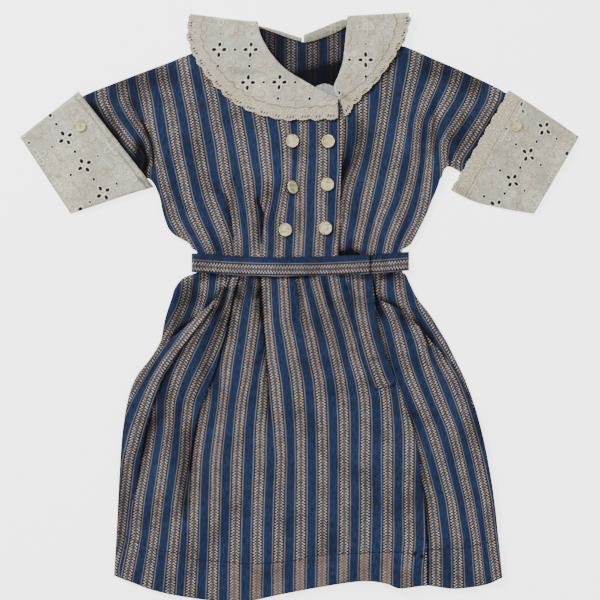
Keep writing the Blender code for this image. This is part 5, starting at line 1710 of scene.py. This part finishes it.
def turned_button():
    radius = BUTTON_ACROSS / 2
    bpy.ops.mesh.primitive_cylinder_add(vertices=64, radius=radius * MM, depth=BUTTON_HIGH * MM,
                                        location=(0, 0, BUTTON_HIGH / 2 * MM))
    button = bpy.context.object
    bpy.ops.object.transform_apply(location=True)
    bpy.ops.object.mode_set(mode="EDIT")
    bpy.ops.mesh.select_all(action="DESELECT")
    bpy.ops.object.mode_set(mode="OBJECT")
    inset_top(button, RIM_WIDE * 0.8, 0.0, BUTTON_HIGH, WHOLE_FACE)
    inset_top(button, RIM_WIDE * 0.5, -DISH_DEEP, BUTTON_HIGH, radius - RIM_WIDE * 0.5)
    inset_top(button, 1.4, -0.12, BUTTON_HIGH - DISH_DEEP, radius - RIM_WIDE)
    soften = button.modifiers.new("soften", "BEVEL")
    soften.width = SOFT_EDGE * MM
    soften.segments = 2
    soften.limit_method = "ANGLE"
    bpy.ops.object.modifier_apply(modifier=soften.name)
    for side in (-1, 1):
        drill_hole(button, side * HOLE_APART / 2)
    bpy.ops.object.select_all(action="DESELECT")
    button.select_set(True)
    bpy.ops.object.shade_smooth_by_angle(angle=math.radians(30))
    button.data.materials.append(FINISHES["pearl_button"])
    return button


pattern_button = turned_button()
print("one button has", len(pattern_button.data.polygons), "faces")


# %% Set the buttons on
STRANDS = (-0.35, 0.0, 0.3)      # how far each strand lies beside the line through both holes
STRAND_RADIUS = 0.28


def tilted(points, lean, turn):
    """Points leant about the y axis and then turned about the z axis, in degrees."""
    a, b = math.radians(lean), math.radians(turn)
    x, y, z = points.T
    x, z = x * math.cos(a) + z * math.sin(a), -x * math.sin(a) + z * math.cos(a)
    return np.column_stack([x * math.cos(b) - y * math.sin(b), x * math.sin(b) + y * math.cos(b), z])


def set_button(node, x, y, lean, turn, across):
    """A copy of the pattern at its packed button's place, with its lowest point where that one's is."""
    piece = pattern_button.copy()
    piece.data = pattern_button.data.copy()
    piece.name = node + "_shell"
    bpy.context.scene.collection.objects.link(piece)
    points = tilted(mesh_points(piece.data) * (across / BUTTON_ACROSS), lean, turn)
    points[:, 2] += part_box(node)[0][2] - points[:, 2].min()
    points[:, 0:2] += world([(x, y, 0.0)])[0, 0:2]
    piece.data.vertices.foreach_set("co", points.ravel())
    piece.data.update()
    place_in(piece, node)


def tubes(name, paths, radius, finish):
    """Round threads along paths of world places, as one mesh."""
    curve = bpy.data.curves.new(name, "CURVE")
    curve.dimensions = "3D"
    curve.bevel_depth = radius * MM
    curve.bevel_resolution = 1
    curve.use_fill_caps = True
    for path in paths:
        spline = curve.splines.new("POLY")
        spline.points.add(len(path) - 1)
        spline.points.foreach_set("co", np.column_stack([path, np.ones(len(path))]).ravel())
    piece = bpy.data.objects.new(name, curve)
    bpy.context.scene.collection.objects.link(piece)
    bpy.context.view_layer.objects.active = piece
    piece.select_set(True)
    bpy.ops.object.convert(target="MESH")
    piece = bpy.context.object
    piece.data.materials.clear()
    piece.data.materials.append(finish)
    bpy.ops.object.shade_smooth()
    bpy.ops.object.select_all(action="DESELECT")
    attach(piece, "root")
    print(piece.name, "has", len(piece.data.polygons), "faces")


def stitch_thread(node, x, y, turn):
    """Thread through a button's two holes: a short bar of a few strands that dips at both ends."""
    t = np.linspace(-1.0, 1.0, 9)
    rise = BUTTON_HIGH - DISH_DEEP + 0.25 - 1.3 * np.clip(np.abs(t) - 0.75, 0.0, None) * 4
    middle = world([(x, y, 0.0)])[0] + (0.0, 0.0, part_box(node)[0][2])
    strands = []
    for side in STRANDS:
        strand = np.column_stack([t * (HOLE_APART / 2 + 0.1), np.full(len(t), side), rise])
        strands.append(middle + tilted(strand * MM, 0.0, turn))
    tubes(node + "_thread", strands, STRAND_RADIUS, PALE_THREAD)


for node, x, y, lean, turn, across in BUTTON_PLACES:
    set_button(node, x, y, lean, turn, across)
    if not lean:
        stitch_thread(node, x, y, turn)
bpy.data.objects.remove(pattern_button)

# %% [markdown]
# Stitches hold the hem up, and they show on the right side as small dark dips a few millimetres apart.
# They are made as one mesh of short threads on each front, just proud of the skirt.

# %% Hem stitches
STITCH_LONG, STITCH_RADIUS = 1.6, 0.22
STITCH_PROUD, STITCH_DIP = 0.2, 0.35     # above the cloth, and how far both its ends dip


def hem_stitches(name, start_x, end_x, count, node):
    x = np.linspace(start_x, end_x, count)
    way = np.column_stack([x, height_on(HEM_LINE, x)])
    run = run_along(way)
    skirt = Surface(made[node].data)
    paths = []
    for start in np.arange(1.0, run[-1] - STITCH_LONG, HEM_STITCH):
        t = start + np.linspace(0.0, STITCH_LONG, 4)
        px, py = (np.interp(t, run, column) for column in way.T)
        z = skirt.top(px, py) + STITCH_PROUD - np.array([STITCH_DIP, 0.0, 0.0, STITCH_DIP])
        paths.append(world(np.column_stack([px, py, z])))
    tubes(name, paths, STITCH_RADIUS, NAVY_THREAD)


hem_stitches("hem_stitches_left", -190.0, 136.0, 160, "skirt_front_left")
hem_stitches("hem_stitches_right", 141.0, 206.0, 40, "skirt_front_right")

# %% [markdown]
# Inside the neck a little of the bound edge of the lapped-under front shows. It is a narrow tape, laid
# just above the imported solid's face. Its cream is painted as the grey-green that it shows in the
# neck's shade.

# %% Neck binding
BINDING_RIBS = [
    # top x, top y, bottom x, bottom y
    (14, 234.5, 15, 226.6),
    (20, 238.6, 20, 226.8),
    (27, 240.6, 27, 226.8),
    (34, 239.2, 35, 227.5),
    (42, 235.5, 43, 225)]
places = rib_grid(BINDING_RIBS, 40, 16)
x, y = places[..., 0], places[..., 1]
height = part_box("neck_binding")[1][2] / MM + rumple(x * 3, y * 3, 0.2)
lay_cloth("neck_binding", np.dstack([places, height]), "binding_tape", {"cloth": (x / STRIPE, y)},
          kind="tape")

# %% [markdown]

# %% [markdown]
# A cut-out photograph has a white ground, so the dress lies on a plain pale floor. The light is a big
# soft window above and to the left, because raking light is what makes folds and stitches visible. A
# weaker one opposite and one overhead keep the shadows open.

# %% Floor and light
WHITE = (1.0, 1.0, 1.0, 1.0)
FLOOR_SIZE, FLOOR_AT = 6.0, -0.0004
PAPER_GLOW, SKY_GLOW = 2.4, 0.6
LIGHTS = [
    # name, place, size, watts
    ("window", (-1.5, 1.3, 1.7), 0.8, 88.0),
    ("fill", (1.6, -0.6, 1.9), 1.6, 14.0),
    ("overhead", (0.0, 0.2, 2.6), 2.0, 22.0)]
bpy.ops.mesh.primitive_plane_add(size=FLOOR_SIZE, location=(0, 0, FLOOR_AT))
floor = bpy.context.object
floor.name = "pale_floor"
paper = Shade("pale_paper", {"Roughness": 0.95, "Emission Color": WHITE, "Emission Strength": PAPER_GLOW})
paper.feed("Base Color", paper.mix(paper.noise(300.0), colour(250, 250, 250), colour(246, 246, 246)))
floor.data.materials.append(paper.material)
for name, place, size, watts in LIGHTS:
    light = bpy.data.lights.new(name, "AREA")
    light.shape = "SQUARE"
    light.size = size
    light.energy = watts
    lamp = bpy.data.objects.new(name, light)
    bpy.context.scene.collection.objects.link(lamp)
    lamp.location = place
    lamp.rotation_euler = (-Vector(place)).to_track_quat("-Z", "Y").to_euler()
sky = bpy.data.worlds.new("studio")
bpy.context.scene.world = sky
sky.use_nodes = True
sky.node_tree.nodes["Background"].inputs["Color"].default_value = WHITE
sky.node_tree.nodes["Background"].inputs["Strength"].default_value = SKY_GLOW

# %% [markdown]
# The camera looks straight down from about two metres with a long lens, as for a catalogue. The frame
# is 648 mm wide at the height of the cloth, and its lower edge cuts the hem by a few millimetres.

# %% Camera
CAMERA_HIGH = 2.2
CLOTH_HIGH = 0.008
FRAME_WIDE = 0.648
LOOK_AT = (0.00058, 0.00727)
lens = bpy.data.cameras.new("copy_stand")
lens.sensor_width = 36.0
lens.lens = lens.sensor_width * (CAMERA_HIGH - CLOTH_HIGH) / FRAME_WIDE
camera = bpy.data.objects.new("copy_stand", lens)
bpy.context.scene.collection.objects.link(camera)
camera.location = (*LOOK_AT, CAMERA_HIGH)
camera.rotation_euler = (0.0, 0.0, 0.0)
bpy.context.scene.camera = camera
print("lens", round(lens.lens, 1), "mm")

# %% Update the scene
bpy.context.view_layer.update()
